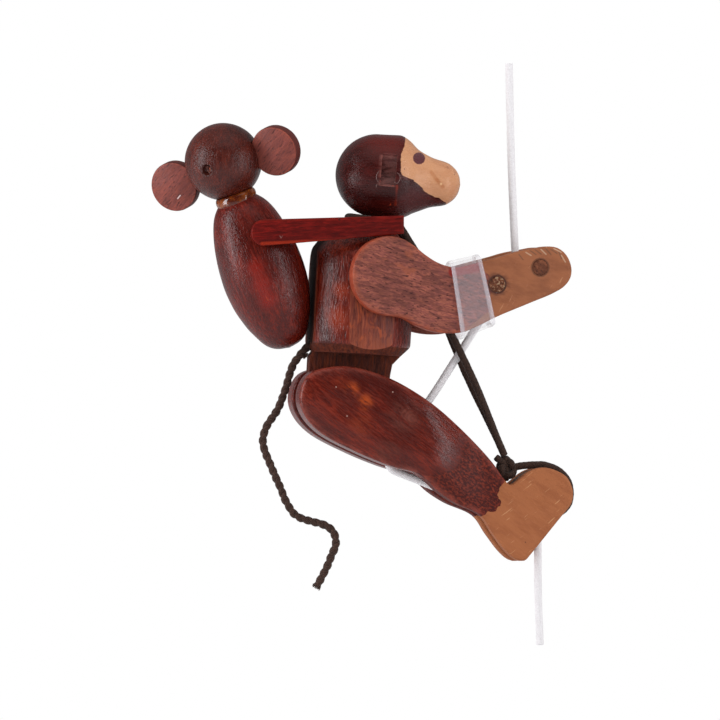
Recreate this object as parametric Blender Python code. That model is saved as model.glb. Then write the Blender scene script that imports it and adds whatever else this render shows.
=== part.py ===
"""Climbing monkey toy: a turned wooden figure with a young one on its back, on a string.

The string runs between two pegs in the hands, round a pin at the knees and over a dowel
at the heels. An elastic cord from the neck to the feet pulls the legs up, so the figure
climbs when the string is pulled and let go. Metres, +Z up, the figure faces +X.
The origin is the cut top end of the string.
"""

import math

import bmesh
import bpy
from mathutils import Matrix, Vector
from mathutils.geometry import delaunay_2d_cdt

MM = 0.001

# Clearances and stock
GAP = 0.3 * MM
DOWEL_RADIUS = 3.175 * MM
BORE_RADIUS = DOWEL_RADIUS + GAP
STRING_RADIUS = 1.6 * MM
ELASTIC_RADIUS = 1.5 * MM
TAIL_RADIUS = 1.7 * MM

# Torso: a turned block that leans forward, flat down its back, with a tongue for the hip pin
TORSO_LEAN = math.radians(3.2)
TORSO_RIM = Vector((-62.0, 0.0, -112.8)) * MM
TORSO_PROFILE = (
    (-3.8, 17.8), (0.0, 21.5), (4.8, 21.6), (18.0, 21.7), (27.0, 21.6), (32.5, 21.3),
    (36.0, 20.6), (39.6, 18.4), (42.6, 16.0), (45.0, 14.0), (46.8, 12.5),
)
BACK_FLAT_REACH = 19.1 * MM
TONGUE_HALF_WIDTH = 3.3 * MM
TONGUE_ROUND_RADIUS = 11.0 * MM
TONGUE_FRONT = ((-44.7, -108.0), (-44.7, -117.6), (-47.9, -120.8), (-48.6, -124.0), (-50.0, -133.0))
TONGUE_REAR = ((-84.3, -121.4), (-80.2, -115.6), (-79.0, -108.0))
HIP = Vector((-70.4, 0.0, -135.6)) * MM
TAIL_HOLE_DEPTH = 6.0 * MM
TAIL_STRAIGHT = 2.5 * MM

# Arms: boards on flats milled at both sides of the torso, converging at the hands
SHOULDER = Vector((-58.7, 0.0, -85.6)) * MM
ARM_YAW = math.radians(7.0)
ARM_INNER = 19.5 * MM
ARM_THICKNESS = 6.0 * MM
ARM_DISC_CENTRE = 3.2 * MM
ARM_DISC_RADIUS = 15.8 * MM
ARM_EASE = 0.9 * MM
ARM_UPPER_EDGE = (
    (56.0, -75.8), (51.3, -77.2), (42.1, -79.6), (35.0, -81.4), (29.1, -82.0), (22.9, -80.2),
    (17.6, -77.0), (12.9, -73.4), (8.0, -70.7),
)
ARM_LOWER_EDGE = (
    (8.6, -102.4), (14.5, -105.4), (20.0, -107.4), (26.2, -108.4), (33.3, -108.0), (40.0, -105.4),
    (47.1, -102.0),
)
HAND_EDGE = (
    (62.0, -96.0), (71.2, -92.3), (76.0, -89.4), (78.5, -86.0), (78.9, -82.0), (76.8, -77.0),
    (73.0, -74.1), (68.0, -73.6), (63.4, -74.4),
)
SHOULDER_DOWEL_IN_ARM = 4.4 * MM
SHOULDER_DOWEL_IN_TORSO = 7.5 * MM
FRONT_PEG = Vector((9.5, 0.0, -82.0)) * MM
REAR_PEG = Vector((-8.3, 0.0, -88.8)) * MM
PEG_PROUD = 0.4 * MM

# Clear cuff round the near wrist
CUFF_WALL = 1.0 * MM
CUFF_BULGE = 1.6 * MM
CUFF_LEFT = ((28.2, -82.6), (32.1, -108.2))
CUFF_RIGHT = ((40.9, -79.6), (46.3, -102.6))

# Head: a ball behind, a turned muzzle in front, a disc ear in a slot at each side
HEAD_CENTRE = Vector((-53.6, 0.0, -45.3)) * MM
HEAD_RADIUS = 16.6 * MM
HEAD_TURN = math.radians(10.0)
HEAD_NOD = math.radians(4.5)
MUZZLE_PROFILE = (
    (4.0, 16.7), (8.0, 16.8), (8.8, 16.7), (12.4, 15.1), (15.6, 12.8), (18.8, 11.2),
    (21.6, 10.0), (24.0, 9.4), (26.4, 8.9), (28.4, 8.2), (30.0, 7.1), (31.2, 6.0),
    (32.2, 4.6), (32.9, 3.0), (33.4, 0.0),
)
MUZZLE_DROOP = 1.1 * MM
MUZZLE_DROOP_FROM = 8.8 * MM
MUZZLE_DROOP_TO = 18.0 * MM
EAR_RADIUS = 10.0 * MM
EAR_THICKNESS = 5.3 * MM
EAR_SUNK = 3.6 * MM
EAR_REACH = HEAD_RADIUS + EAR_RADIUS - EAR_SUNK
EAR_AHEAD = 4.5 * MM
EAR_ABOVE = 3.6 * MM
NECK_DOWEL_IN_TORSO = 12.0 * MM
NECK_DOWEL_IN_HEAD = 10.0 * MM

# Legs: two carved boards, thick at the thigh and thin at the foot
LEG_INNER = 3.6 * MM
THIGH_WALL = 11.5 * MM
FOOT_WALL = 6.5 * MM
THIGH_CROWN = 2.5 * MM
CROWN_REACH = 9.0 * MM
LEG_EASE = 1.1 * MM
ANKLE_FROM = -38.0 * MM
ANKLE_TO = -6.0 * MM
HIP_DOWEL_IN_LEG = 8.0 * MM
KNEE_PIN = Vector((-44.3, 0.0, -158.6)) * MM
KNEE_PIN_IN_LEG = 6.0 * MM
HEEL_DOWEL = Vector((5.2, 0.0, -190.5)) * MM
HEEL_DOWEL_RADIUS = 4.6 * MM
HEEL_DOWEL_IN_LEG = 4.0 * MM
INSTEP = (
    (2.6, -166.4), (6.6, -163.4), (12.0, -161.8), (17.7, -163.1), (22.1, -166.0),
    (24.4, -172.0), (23.4, -176.7),
)
SOLE_TOE = ((20.6, -180.2),)
SHIN_EDGE = (
    (-1.2, -168.8), (-4.2, -165.8), (-8.4, -159.9), (-21.7, -146.4), (-36.2, -134.7), (-51.7, -126.0),
)
HIP_EDGE = (
    (-67.3, -121.6), (-77.0, -122.2), (-83.4, -124.6), (-86.6, -129.4), (-87.4, -135.6),
    (-85.2, -141.6), (-79.2, -148.0),
)
CALF_EDGE = (
    (-64.5, -155.8), (-49.3, -161.8), (-41.0, -163.9), (-36.3, -166.7), (-31.2, -171.4),
    (-24.5, -175.8), (-13.4, -181.0),
)
HEEL_EDGE = ((-8.2, -188.4), (-2.6, -195.6), (1.2, -198.6), (4.6, -199.1), (7.6, -196.0))
LEG_FACE_SPACING = 5.0 * MM
SPACER_UNDERSIDE = ((21.5, -179.0), (-0.5, -170.5))

# Young one: an egg-shaped body with a ball head, held by two flat arms
BABY_TOP = Vector((-111.7, 0.0, -51.4)) * MM
BABY_TILT = math.radians(19.9)
BABY_PROFILE = (
    (0.0, 0.0), (0.8, 3.4), (2.8, 6.4), (5.2, 9.0), (8.0, 11.1), (14.0, 13.6), (24.0, 15.8),
    (35.0, 16.7), (44.0, 16.0), (49.6, 14.7), (54.4, 13.1), (57.6, 11.6), (61.6, 9.4),
    (64.0, 7.3), (65.6, 4.6), (66.6, 0.0),
)
BABY_HEAD_RADIUS = 15.45 * MM
BABY_HEAD_SUNK = 3.15 * MM
BABY_NECK = BABY_HEAD_RADIUS - BABY_HEAD_SUNK
BABY_NECK_DOWEL_LENGTH = 18.0 * MM
BABY_EAR_LINE = Vector((0.757, -0.580, 0.290)).normalized()
BABY_FACE = Vector((-0.560, -0.790, -0.235)).normalized()
BABY_EAR_RADIUS = 10.0 * MM
BABY_EAR_THICKNESS = 5.0 * MM
BABY_EAR_SUNK = 1.85 * MM
BABY_EAR_REACH = BABY_HEAD_RADIUS + BABY_EAR_RADIUS - BABY_EAR_SUNK
BABY_EAR_DROP = 3.1 * MM
NOSE_RADIUS = 2.4 * MM
NOSE_DEPTH = 5.0 * MM
NOSE_SUNK = 0.8 * MM
GLUE_RADIUS = 0.95 * MM
GLUE_GAP = 0.10401466 * MM
GLUE_RING_BELOW = 2.35 * MM
BABY_PIN = Vector((-101.6, 0.0, -68.0)) * MM
BABY_PIN_RADIUS = 2.4 * MM
BABY_PIN_IN_ARM = 2.9 * MM
BABY_ARM_YAW = math.radians(1.6)
BABY_ARM_INNER = 16.5 * MM
BABY_ARM_THICKNESS = 4.0 * MM
BABY_ARM_END_RADIUS = 5.3 * MM
BABY_ARM_LENGTH = 55.2 * MM
BABY_ARM_END_TOP = 6.5 * MM
BABY_ARM_END_BOTTOM = -0.8 * MM

# String and cords
STRING_LENGTH = 232.8 * MM
STRING_DRIFT = 12.6 * MM
HANDS_TOP = Vector((2.44, 0.0, -75.6)) * MM
HANDS_BOTTOM = Vector((-11.6, 0.0, -102.8)) * MM
GRIP_ROUTE = ((2.6, -79.0), (2.5, -82.5), (1.0, -86.0), (-2.0, -89.4), (-4.6, -93.0), (-8.0, -97.6))
MIDDLE_ROUTE = ((-15.0, -108.2), (-23.0, -120.6), (-32.9, -135.6))
TAIL_ROUTE = (
    (-85.5, -118.0), (-87.3, -120.2), (-88.7, -123.6), (-90.8, -130.7),
    (-93.9, -138.7), (-98.6, -146.0), (-99.9, -152.0), (-97.2, -159.9), (-93.1, -169.2),
    (-90.0, -176.4), (-86.6, -180.9), (-81.1, -183.2), (-75.6, -184.6), (-71.5, -187.4),
    (-70.3, -192.0), (-72.3, -197.6), (-74.9, -203.6), (-78.0, -209.2),
)
NECK_RING_RADIUS = 9.2 * MM
NECK_RING_BACK = 1.4 * MM
NECK_RING_RISE = 2.2 * MM
CHEST_POINTS_BELOW = (5.0 * MM, 9.2 * MM)
ELASTIC_OFF_CHEST = 0.78 * MM
RIM_EASE = 0.8
ELASTIC_SPREAD = 3.6 * MM
ELASTIC_KNOT_SPREAD = 1.9 * MM
CHEST_LEAVE = Vector((-36.9, 0.0, -79.2)) * MM
KNOT_CENTRE = Vector((-1.2, 0.0, -162.4)) * MM
KNOT_SIZE = Vector((4.6, 4.4, 4.9)) * MM
KNOT_ENTRY = Vector((-0.6, 0.0, 0.4)) * MM
KNOT_STUB_END = Vector((-6.6, 0.0, -155.6)) * MM
FOOT_LOOP_ROUTE = (
    (3.9, -161.0), (9.0, -159.9), (14.6, -160.0), (21.0, -162.0), (25.8, -166.6), (27.0, -173.0),
    (25.4, -178.4), (21.0, -181.6), (13.0, -178.6), (5.0, -175.5), (0.6, -174.1), (-2.3, -172.3),
    (-3.1, -169.9), (-2.6, -167.7),
)

# Facets
TURNED_SEGMENTS = 40
BABY_SEGMENTS = 32
DOWEL_SEGMENTS = 20
DISC_SEGMENTS = 32
OUTLINE_STEP = 3.6 * MM
CORD_STEP = 2.0

# Eased edges
ROD_CHAMFER = 0.4 * MM
DISC_CHAMFER = 0.5 * MM

# Cutters
CUTTER_OVERRUN = 5.0 * MM
FLAT_CUTTER_DEPTH = 10.0 * MM
WIDE_CUTTER_HALF = 40.0 * MM

UP = Vector((0.0, 0.0, 1.0))
ACROSS = Vector((0.0, 1.0, 0.0))
TORSO_AXIS = Vector((math.sin(TORSO_LEAN), 0.0, math.cos(TORSO_LEAN)))


def clear_scene():
    for item in list(bpy.data.objects):
        bpy.data.objects.remove(item, do_unlink=True)


def make_material(name, colour, roughness, alpha=1.0):
    material = bpy.data.materials.new(name)
    material.use_nodes = True
    shader = material.node_tree.nodes["Principled BSDF"]
    shader.inputs["Base Color"].default_value = (*colour, 1.0)
    shader.inputs["Roughness"].default_value = roughness
    shader.inputs["Metallic"].default_value = 0.0
    shader.inputs["Alpha"].default_value = alpha
    material.diffuse_color = (*colour, 1.0)
    return material


def link_mesh(name, form, material, pivot=None, smooth_angle=35.0):
    """Turns a bmesh in world coordinates into an object whose origin is the pivot."""
    pivot = Vector((0.0, 0.0, 0.0)) if pivot is None else Vector(pivot)
    bmesh.ops.recalc_face_normals(form, faces=form.faces)
    bmesh.ops.translate(form, verts=form.verts, vec=-pivot)
    mesh = bpy.data.meshes.new(name)
    form.to_mesh(mesh)
    form.free()
    mesh.shade_smooth()
    mesh.set_sharp_from_angle(angle=math.radians(smooth_angle))
    if material is not None:
        mesh.materials.append(material)
    piece = bpy.data.objects.new(name, mesh)
    piece.location = pivot
    bpy.context.scene.collection.objects.link(piece)
    return piece


def hide_cutter(cutter):
    cutter.hide_render = True
    cutter.display_type = "WIRE"


def combine(piece, tool, operation):
    modifier = piece.modifiers.new(tool.name, "BOOLEAN")
    modifier.operation = operation
    modifier.solver = "EXACT"
    modifier.object = tool
    hide_cutter(tool)


def cut(piece, *tools):
    for tool in tools:
        combine(piece, tool, "DIFFERENCE")


def frame_on(origin, axis, towards=ACROSS):
    """A matrix whose local Z lies along the axis and whose local Y leans towards a direction."""
    z_axis = Vector(axis).normalized()
    x_axis = Vector(towards).cross(z_axis).normalized()
    y_axis = z_axis.cross(x_axis)
    turn = Matrix((x_axis, y_axis, z_axis)).transposed().to_4x4()
    return Matrix.Translation(origin) @ turn


def add_ring(form, points):
    return [form.verts.new(point) for point in points]


def bridge(form, lower, upper):
    count = len(lower)
    if len(upper) == 1:
        for index in range(count):
            form.faces.new((lower[index], lower[(index + 1) % count], upper[0]))
        return
    if count == 1:
        size = len(upper)
        for index in range(size):
            form.faces.new((upper[(index + 1) % size], upper[index], lower[0]))
        return
    for index in range(count):
        after = (index + 1) % count
        form.faces.new((lower[index], lower[after], upper[after], upper[index]))


def turned(profile, segments, matrix, droop=None):
    """A solid turned from (height, radius) pairs; droop gives each ring's sideways shift."""
    form = bmesh.new()
    rings = []
    for height, radius in profile:
        shift = 0.0 if droop is None else droop(height)
        if radius == 0.0:
            points = [(shift, 0.0, height)]
        else:
            angles = [math.tau * index / segments for index in range(segments)]
            points = [(shift + radius * math.cos(a), radius * math.sin(a), height) for a in angles]
        rings.append(add_ring(form, points))
    for lower, upper in zip(rings, rings[1:]):
        bridge(form, lower, upper)
    for ring in (rings[0], rings[-1]):
        if len(ring) > 1:
            form.faces.new(ring)
    bmesh.ops.transform(form, matrix=matrix, verts=form.verts)
    return form


def millimetres(profile):
    return [(height * MM, radius * MM) for height, radius in profile]


def rod(start, end, radius, segments=DOWEL_SEGMENTS, chamfer=0.0):
    """A round rod between two points, its ends chamfered where asked."""
    start = Vector(start)
    end = Vector(end)
    length = (end - start).length
    profile = [(0.0, radius), (length, radius)]
    if chamfer > 0.0:
        profile = [
            (0.0, radius - chamfer), (chamfer, radius), (length - chamfer, radius),
            (length, radius - chamfer),
        ]
    side = ACROSS if abs((end - start).normalized().y) < 0.9 else UP
    return turned(profile, segments, frame_on(start, end - start, side))


def bore(name, start, end, radius, segments=DOWEL_SEGMENTS):
    return link_mesh(name, rod(start, end, radius, segments), None)


def smooth_points(points, closed, step):
    """Points along a centripetal Catmull-Rom curve through the given points."""
    points = [Vector(point) for point in points]
    count = len(points)
    spans = count if closed else count - 1
    result = []
    for index in range(spans):
        p1 = points[index]
        p2 = points[(index + 1) % count]
        if closed or index > 0:
            p0 = points[index - 1]
        else:
            p0 = p1 * 2.0 - p2
        if closed or index + 2 < count:
            p3 = points[(index + 2) % count]
        else:
            p3 = p2 * 2.0 - p1
        t1 = (p1 - p0).length ** 0.5
        t2 = t1 + (p2 - p1).length ** 0.5
        t3 = t2 + (p3 - p2).length ** 0.5
        pieces = max(1, round((p2 - p1).length / step))
        for part in range(pieces):
            t = t1 + (t2 - t1) * part / pieces
            a1 = p0 * ((t1 - t) / t1) + p1 * (t / t1)
            a2 = p1 * ((t2 - t) / (t2 - t1)) + p2 * ((t - t1) / (t2 - t1))
            a3 = p2 * ((t3 - t) / (t3 - t2)) + p3 * ((t - t2) / (t3 - t2))
            b1 = a1 * ((t2 - t) / t2) + a2 * (t / t2)
            b2 = a2 * ((t3 - t) / (t3 - t1)) + a3 * ((t - t1) / (t3 - t1))
            result.append(b1 * ((t2 - t) / (t2 - t1)) + b2 * ((t - t1) / (t2 - t1)))
    if not closed:
        result.append(points[-1])
    return result


def arc(centre, radius, start, end, steps):
    """Points on an arc in the plane of the figure; angles in degrees from +X towards +Z."""
    result = []
    for index in range(steps + 1):
        angle = math.radians(start + (end - start) * index / steps)
        result.append(Vector(centre) + Vector((math.cos(angle), math.sin(angle))) * radius)
    return result


def signed_area(outline):
    total = 0.0
    for here, after in zip(outline, outline[1:] + outline[:1]):
        total += here.x * after.y - after.x * here.y
    return total / 2.0


def inset(outline, distance):
    """The outline moved inwards; the points run anticlockwise."""
    result = []
    count = len(outline)
    for index, point in enumerate(outline):
        ahead = (outline[(index + 1) % count] - point).normalized()
        behind = (point - outline[index - 1]).normalized()
        tangent = (ahead + behind).normalized()
        result.append(point + Vector((-tangent.y, tangent.x)) * distance)
    return result


def edge_distance(point, outline):
    nearest = float("inf")
    for here, after in zip(outline, outline[1:] + outline[:1]):
        span = after - here
        share = max(0.0, min(1.0, (point - here).dot(span) / span.length_squared))
        nearest = min(nearest, (point - here - span * share).length)
    return nearest


def inside(point, outline):
    crossings = False
    for here, after in zip(outline, outline[1:] + outline[:1]):
        if (here.y > point.y) != (after.y > point.y):
            along = here.x + (point.y - here.y) / (after.y - here.y) * (after.x - here.x)
            if point.x < along:
                crossings = not crossings
    return crossings


def carved_board(outline, back, front, ease, spacing=None):
    """A board sawn to an outline, in local (x, y) with its thickness along z.

    back is the depth of the flat face; front(point, distance) gives the height of the other
    face at a point that lies that far inside the outline.
    """
    if signed_area(outline) < 0.0:
        outline = outline[::-1]
    inner = inset(outline, ease)
    form = bmesh.new()
    back_face = add_ring(form, [(p.x, p.y, back) for p in inner])
    back_edge = add_ring(form, [(p.x, p.y, back + ease) for p in outline])
    front_edge = add_ring(form, [(p.x, p.y, front(p, 0.0) - ease) for p in outline])
    front_face = add_ring(form, [(p.x, p.y, front(p, ease)) for p in inner])
    form.faces.new(back_face[::-1])
    bridge(form, back_face, back_edge)
    bridge(form, back_edge, front_edge)
    bridge(form, front_edge, front_face)
    if spacing is None:
        form.faces.new(front_face)
        return form
    points = list(inner)
    left = min(p.x for p in outline)
    right = max(p.x for p in outline)
    low = min(p.y for p in outline)
    high = max(p.y for p in outline)
    rows = int((high - low) / spacing)
    columns = int((right - left) / spacing)
    for row in range(rows + 1):
        for column in range(columns + 1):
            shift = 0.5 * (row % 2)
            point = Vector((left + (column + shift) * spacing, low + row * spacing))
            if inside(point, inner) and edge_distance(point, inner) > 0.4 * spacing:
                points.append(point)
    border = list(range(len(inner)))
    corners, _, faces, _, _, _ = delaunay_2d_cdt(points, [], [border], 1, 1e-7)
    vertices = front_face + [
        form.verts.new((p.x, p.y, front(p, edge_distance(p, outline))))
        for p in corners[len(inner):]
    ]
    for face in faces:
        form.faces.new([vertices[index] for index in face])
    return form


def plane_to_world(side):
    """Local (x, y, depth) becomes world (x, side * depth, z)."""
    return Matrix(((1, 0, 0, 0), (0, 0, side, 0), (0, 1, 0, 0), (0, 0, 0, 1)))


def plate(outline, half_width, ease=0.0):
    """A flat board centred on the plane of the figure."""
    form = carved_board(outline, -half_width, lambda point, distance: half_width, ease)
    bmesh.ops.remove_doubles(form, verts=form.verts, dist=1e-7)
    bmesh.ops.transform(form, matrix=plane_to_world(1.0), verts=form.verts)
    return form


def flat(points):
    return [Vector(point) * MM for point in points]


def in_plane(points):
    """Points of the figure's own plane, in millimetres, as places in space."""
    return [Vector((x, 0.0, z)) * MM for x, z in points]


def cord(name, route, radius, material, pivot=None):
    """A round cord along a smooth curve through the route."""
    pivot = Vector((0.0, 0.0, 0.0)) if pivot is None else Vector(pivot)
    points = smooth_points(route, False, CORD_STEP * 2.0 * radius)
    data = bpy.data.curves.new(name, "CURVE")
    data.dimensions = "3D"
    data.bevel_depth = radius
    data.bevel_resolution = 2
    data.use_fill_caps = True
    spline = data.splines.new("POLY")
    spline.points.add(len(points) - 1)
    for vertex, point in zip(spline.points, points):
        vertex.co = (*(point - pivot), 1.0)
    data.materials.append(material)
    piece = bpy.data.objects.new(name, data)
    piece.location = pivot
    bpy.context.scene.collection.objects.link(piece)
    return piece


def on_torso(height, radius=0.0, angle=0.0):
    """A place at a height along the torso's axis; angle 0 is the chest, in degrees."""
    forward = Vector((math.cos(TORSO_LEAN), 0.0, -math.sin(TORSO_LEAN)))
    turn = math.radians(angle)
    sideways = forward * math.cos(turn) + ACROSS * math.sin(turn)
    return TORSO_RIM + TORSO_AXIS * height + sideways * radius


def head_matrix(turn=HEAD_TURN):
    """Local Z runs out of the muzzle, local X points down."""
    level = Vector((math.cos(turn), -math.sin(turn), 0.0))
    ahead = level * math.cos(HEAD_NOD) - UP * math.sin(HEAD_NOD)
    sideways = UP.cross(level)
    down = sideways.cross(ahead)
    return Matrix.Translation(HEAD_CENTRE) @ Matrix((down, sideways, ahead)).transposed().to_4x4()


def arm_matrix(side):
    """Local x runs to the hands, local y is up, local z runs outwards from the inner face."""
    along = Vector((math.cos(ARM_YAW), -side * math.sin(ARM_YAW), 0.0))
    outward = Vector((math.sin(ARM_YAW), side * math.cos(ARM_YAW), 0.0))
    origin = Vector((SHOULDER.x, 0.0, 0.0)) + outward * ARM_INNER
    return Matrix.Translation(origin) @ Matrix((along, UP, outward)).transposed().to_4x4()


def baby_arm_matrix(side):
    along = Vector((math.cos(BABY_ARM_YAW), side * math.sin(BABY_ARM_YAW), 0.0))
    outward = Vector((-math.sin(BABY_ARM_YAW), side * math.cos(BABY_ARM_YAW), 0.0))
    origin = BABY_PIN + ACROSS * side * BABY_ARM_INNER
    return Matrix.Translation(origin) @ Matrix((along, UP, outward)).transposed().to_4x4()


def torso_radius(height):
    profile = millimetres(TORSO_PROFILE)
    for (low, r_low), (high, r_high) in zip(profile, profile[1:]):
        if height <= high:
            return r_low + (r_high - r_low) * (height - low) / (high - low)
    return profile[-1][1]


def neck_top():
    return TORSO_PROFILE[-1][0] * MM


def neck_line(height):
    """A place on the neck dowel's line, at a height along the torso's axis."""
    along = (HEAD_CENTRE - TORSO_RIM).dot(TORSO_AXIS)
    return HEAD_CENTRE + TORSO_AXIS * (height - along)


def head_underside():
    along = (HEAD_CENTRE - TORSO_RIM).dot(TORSO_AXIS)
    return along - HEAD_RADIUS


def shoulder_point(side, depth):
    return arm_matrix(side) @ Vector((ARM_DISC_CENTRE, SHOULDER.z, depth))


def arm_outline():
    shoulder = arc((ARM_DISC_CENTRE, SHOULDER.z), ARM_DISC_RADIUS, 92.0, 262.0, 12)
    edges = flat(ARM_LOWER_EDGE + HAND_EDGE + ARM_UPPER_EDGE)
    return smooth_points(shoulder + edges, True, OUTLINE_STEP)


def leg_outline():
    """The leg from the toe end of its sole round to the heel; the flat sole closes it."""
    toes = tuple(reversed(INSTEP))
    edges = SOLE_TOE + toes + SHIN_EDGE + HIP_EDGE + CALF_EDGE + HEEL_EDGE
    return smooth_points(flat(edges), False, OUTLINE_STEP)


def fade(value, start, end):
    share = max(0.0, min(1.0, (value - start) / (end - start)))
    return share * share * (3.0 - 2.0 * share)


def leg_front(point, distance):
    """Outer height of a leg, from the plane of the figure."""
    share = fade(point.x, ANKLE_FROM, ANKLE_TO)
    wall = THIGH_WALL + (FOOT_WALL - THIGH_WALL) * share
    swell = THIGH_CROWN * (1.0 - share)
    rise = math.sin(0.5 * math.pi * min(1.0, distance / CROWN_REACH))
    return LEG_INNER + wall + swell * rise


def across_rod(centre, half_length, radius, chamfer=0.0):
    return rod(centre - ACROSS * half_length, centre + ACROSS * half_length, radius, chamfer=chamfer)


def tangent_point(centre, radius, outside, side):
    """Where a straight line from a point outside touches a circle; side is +1 or -1."""
    offset = Vector((outside.x - centre.x, outside.z - centre.z))
    turn = side * math.acos(radius / offset.length)
    angle = math.atan2(offset.y, offset.x) + turn
    return angle, Vector((centre.x + radius * math.cos(angle), 0.0, centre.z + radius * math.sin(angle)))


def circle_points(centre, radius, start, end, steps):
    result = []
    for index in range(steps + 1):
        angle = start + (end - start) * index / steps
        result.append(centre + Vector((math.cos(angle), 0.0, math.sin(angle))) * radius)
    return result


def mill_flat(torso, face):
    """Takes off what of the torso lies beyond a plane; the face's local Z points outwards."""
    waste = bmesh.new()
    bmesh.ops.create_cube(waste, size=1.0)
    span = 2.0 * (neck_top() + CUTTER_OVERRUN)
    size = Matrix.Diagonal((span, span, FLAT_CUTTER_DEPTH, 1.0))
    place = Matrix.Translation((0.0, 0.0, FLAT_CUTTER_DEPTH / 2.0))
    bmesh.ops.transform(waste, matrix=face @ place @ size, verts=waste.verts)
    cut(torso, link_mesh("flat_cutter", waste, None))


def make_torso(wood):
    form = turned(millimetres(TORSO_PROFILE), TURNED_SEGMENTS, frame_on(TORSO_RIM, TORSO_AXIS))
    torso = link_mesh("torso", form, wood)
    hip = (HIP.x, HIP.z)
    outline = flat(TONGUE_FRONT) + arc(hip, TONGUE_ROUND_RADIUS, -50.0, -180.0, 9) + flat(TONGUE_REAR)
    tongue = link_mesh("tongue_form", plate(outline, TONGUE_HALF_WIDTH), None)
    combine(torso, tongue, "UNION")
    for side in (-1.0, 1.0):
        inner_face = arm_matrix(side)
        mill_flat(torso, inner_face @ Matrix.Translation((0.0, SHOULDER.z, -GAP)))
        inner_end = shoulder_point(side, -SHOULDER_DOWEL_IN_TORSO - GAP)
        outer_end = shoulder_point(side, CUTTER_OVERRUN)
        cut(torso, bore(f"shoulder_bore_{side:+.0f}", inner_end, outer_end, BORE_RADIUS))
    mill_flat(torso, frame_on(on_torso(0.0, BACK_FLAT_REACH, 180.0), torso_direction(180.0)))
    neck_low = neck_line(neck_top() - NECK_DOWEL_IN_TORSO - GAP)
    cut(torso, bore("neck_bore", neck_low, neck_line(neck_top() + CUTTER_OVERRUN), BORE_RADIUS))
    cut(torso, link_mesh("hip_bore", across_rod(HIP, WIDE_CUTTER_HALF, BORE_RADIUS), None))
    tail_mouth = tail_root(-CUTTER_OVERRUN)
    cut(torso, bore("tail_bore", tail_root(TAIL_HOLE_DEPTH), tail_mouth, TAIL_RADIUS + GAP, 16))
    return torso


def tail_root(depth):
    """A place on the tail hole's line, that deep inside the torso's lower bevel."""
    (low, low_radius), (high, high_radius) = millimetres(TORSO_PROFILE)[:2]
    mouth = (on_torso(high, high_radius, 180.0) + on_torso(low, low_radius, 180.0)) / 2.0
    inward = Vector((1.0, 0.0, 1.0)).normalized()
    return mouth + inward * depth


def make_head(wood):
    profile = []
    steps = 8
    for index in range(steps + 1):
        angle = math.pi / 2.0 * index / steps
        profile.append((-HEAD_RADIUS * math.cos(angle), HEAD_RADIUS * math.sin(angle)))
    profile += millimetres(MUZZLE_PROFILE)

    def droop(height):
        return MUZZLE_DROOP * fade(height, MUZZLE_DROOP_FROM, MUZZLE_DROOP_TO)

    head = link_mesh("head", turned(profile, TURNED_SEGMENTS, head_matrix(), droop), wood, HEAD_CENTRE)
    for side in (-1.0, 1.0):
        cutter = ear_disc(side, GAP)
        cut(head, link_mesh(f"ear_slot_{side:+.0f}", cutter, None))
    top = head_underside() + NECK_DOWEL_IN_HEAD + GAP
    low = neck_line(head_underside() - CUTTER_OVERRUN)
    cut(head, bore("head_bore", low, neck_line(top), BORE_RADIUS))
    return head


def ear_disc(side, clearance=0.0):
    half = EAR_THICKNESS / 2.0 + clearance
    radius = EAR_RADIUS + clearance
    low = head_matrix() @ Vector((-EAR_ABOVE, side * EAR_REACH, EAR_AHEAD - half))
    high = head_matrix() @ Vector((-EAR_ABOVE, side * EAR_REACH, EAR_AHEAD + half))
    chamfer = 0.0 if clearance > 0.0 else DISC_CHAMFER
    return rod(low, high, radius, DISC_SEGMENTS, chamfer)


def make_arm(name, side, wood, paint):
    form = carved_board(arm_outline(), 0.0, lambda point, distance: ARM_THICKNESS, ARM_EASE)
    bmesh.ops.transform(form, matrix=arm_matrix(side), verts=form.verts)
    arm = link_mesh(name, form, wood)
    arm.data.materials.append(paint)
    dowel_end = shoulder_point(side, SHOULDER_DOWEL_IN_ARM + GAP)
    cut(arm, bore(f"{name}_dowel_bore", shoulder_point(side, -CUTTER_OVERRUN), dowel_end, BORE_RADIUS))
    for label, peg in (("front", FRONT_PEG), ("rear", REAR_PEG)):
        cut(arm, link_mesh(f"{name}_{label}_bore", across_rod(peg, WIDE_CUTTER_HALF, BORE_RADIUS), None))
    return arm


def hand_outside(place):
    """Distance from the plane of the figure to the arm's outer face at a peg."""
    along = (place.x - SHOULDER.x) * math.tan(ARM_YAW)
    return (ARM_INNER + ARM_THICKNESS) / math.cos(ARM_YAW) - along


def make_cuff(plastic):
    """A clear sleeve: two rounded rings joined along the wrist, the wall of even thickness."""
    rings = []
    for top, bottom in (CUFF_LEFT, CUFF_RIGHT):
        top = Vector(top) * MM
        bottom = Vector(bottom) * MM
        for wall in (0.0, CUFF_WALL):
            rings.append(cuff_ring(top, bottom, GAP + wall))
    form = bmesh.new()
    loops = [add_ring(form, ring) for ring in rings]
    inner_left, outer_left, inner_right, outer_right = loops
    bridge(form, outer_left, outer_right)
    bridge(form, inner_right, inner_left)
    bridge(form, outer_right, inner_right)
    bridge(form, inner_left, outer_left)
    bmesh.ops.transform(form, matrix=arm_matrix(-1.0), verts=form.verts)
    return link_mesh("wrist_band", form, plastic)


def cuff_ring(top, bottom, offset):
    """A ring round the wrist board between a point on its top edge and one on its bottom edge."""
    down = (bottom - top).normalized()
    points = []
    steps = 8
    radius = offset + ARM_THICKNESS / 2.0
    for centre, start in ((bottom, 0.0), (top, 180.0)):
        sign = 1.0 if start == 0.0 else -1.0
        for index in range(steps + 1):
            angle = math.radians(180.0 * index / steps)
            across = sign * radius * math.cos(angle)
            beyond = (offset + CUFF_BULGE) * math.sin(angle)
            spot = centre + down * sign * beyond
            points.append((spot.x, spot.y, ARM_THICKNESS / 2.0 + across))
    return points


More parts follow.
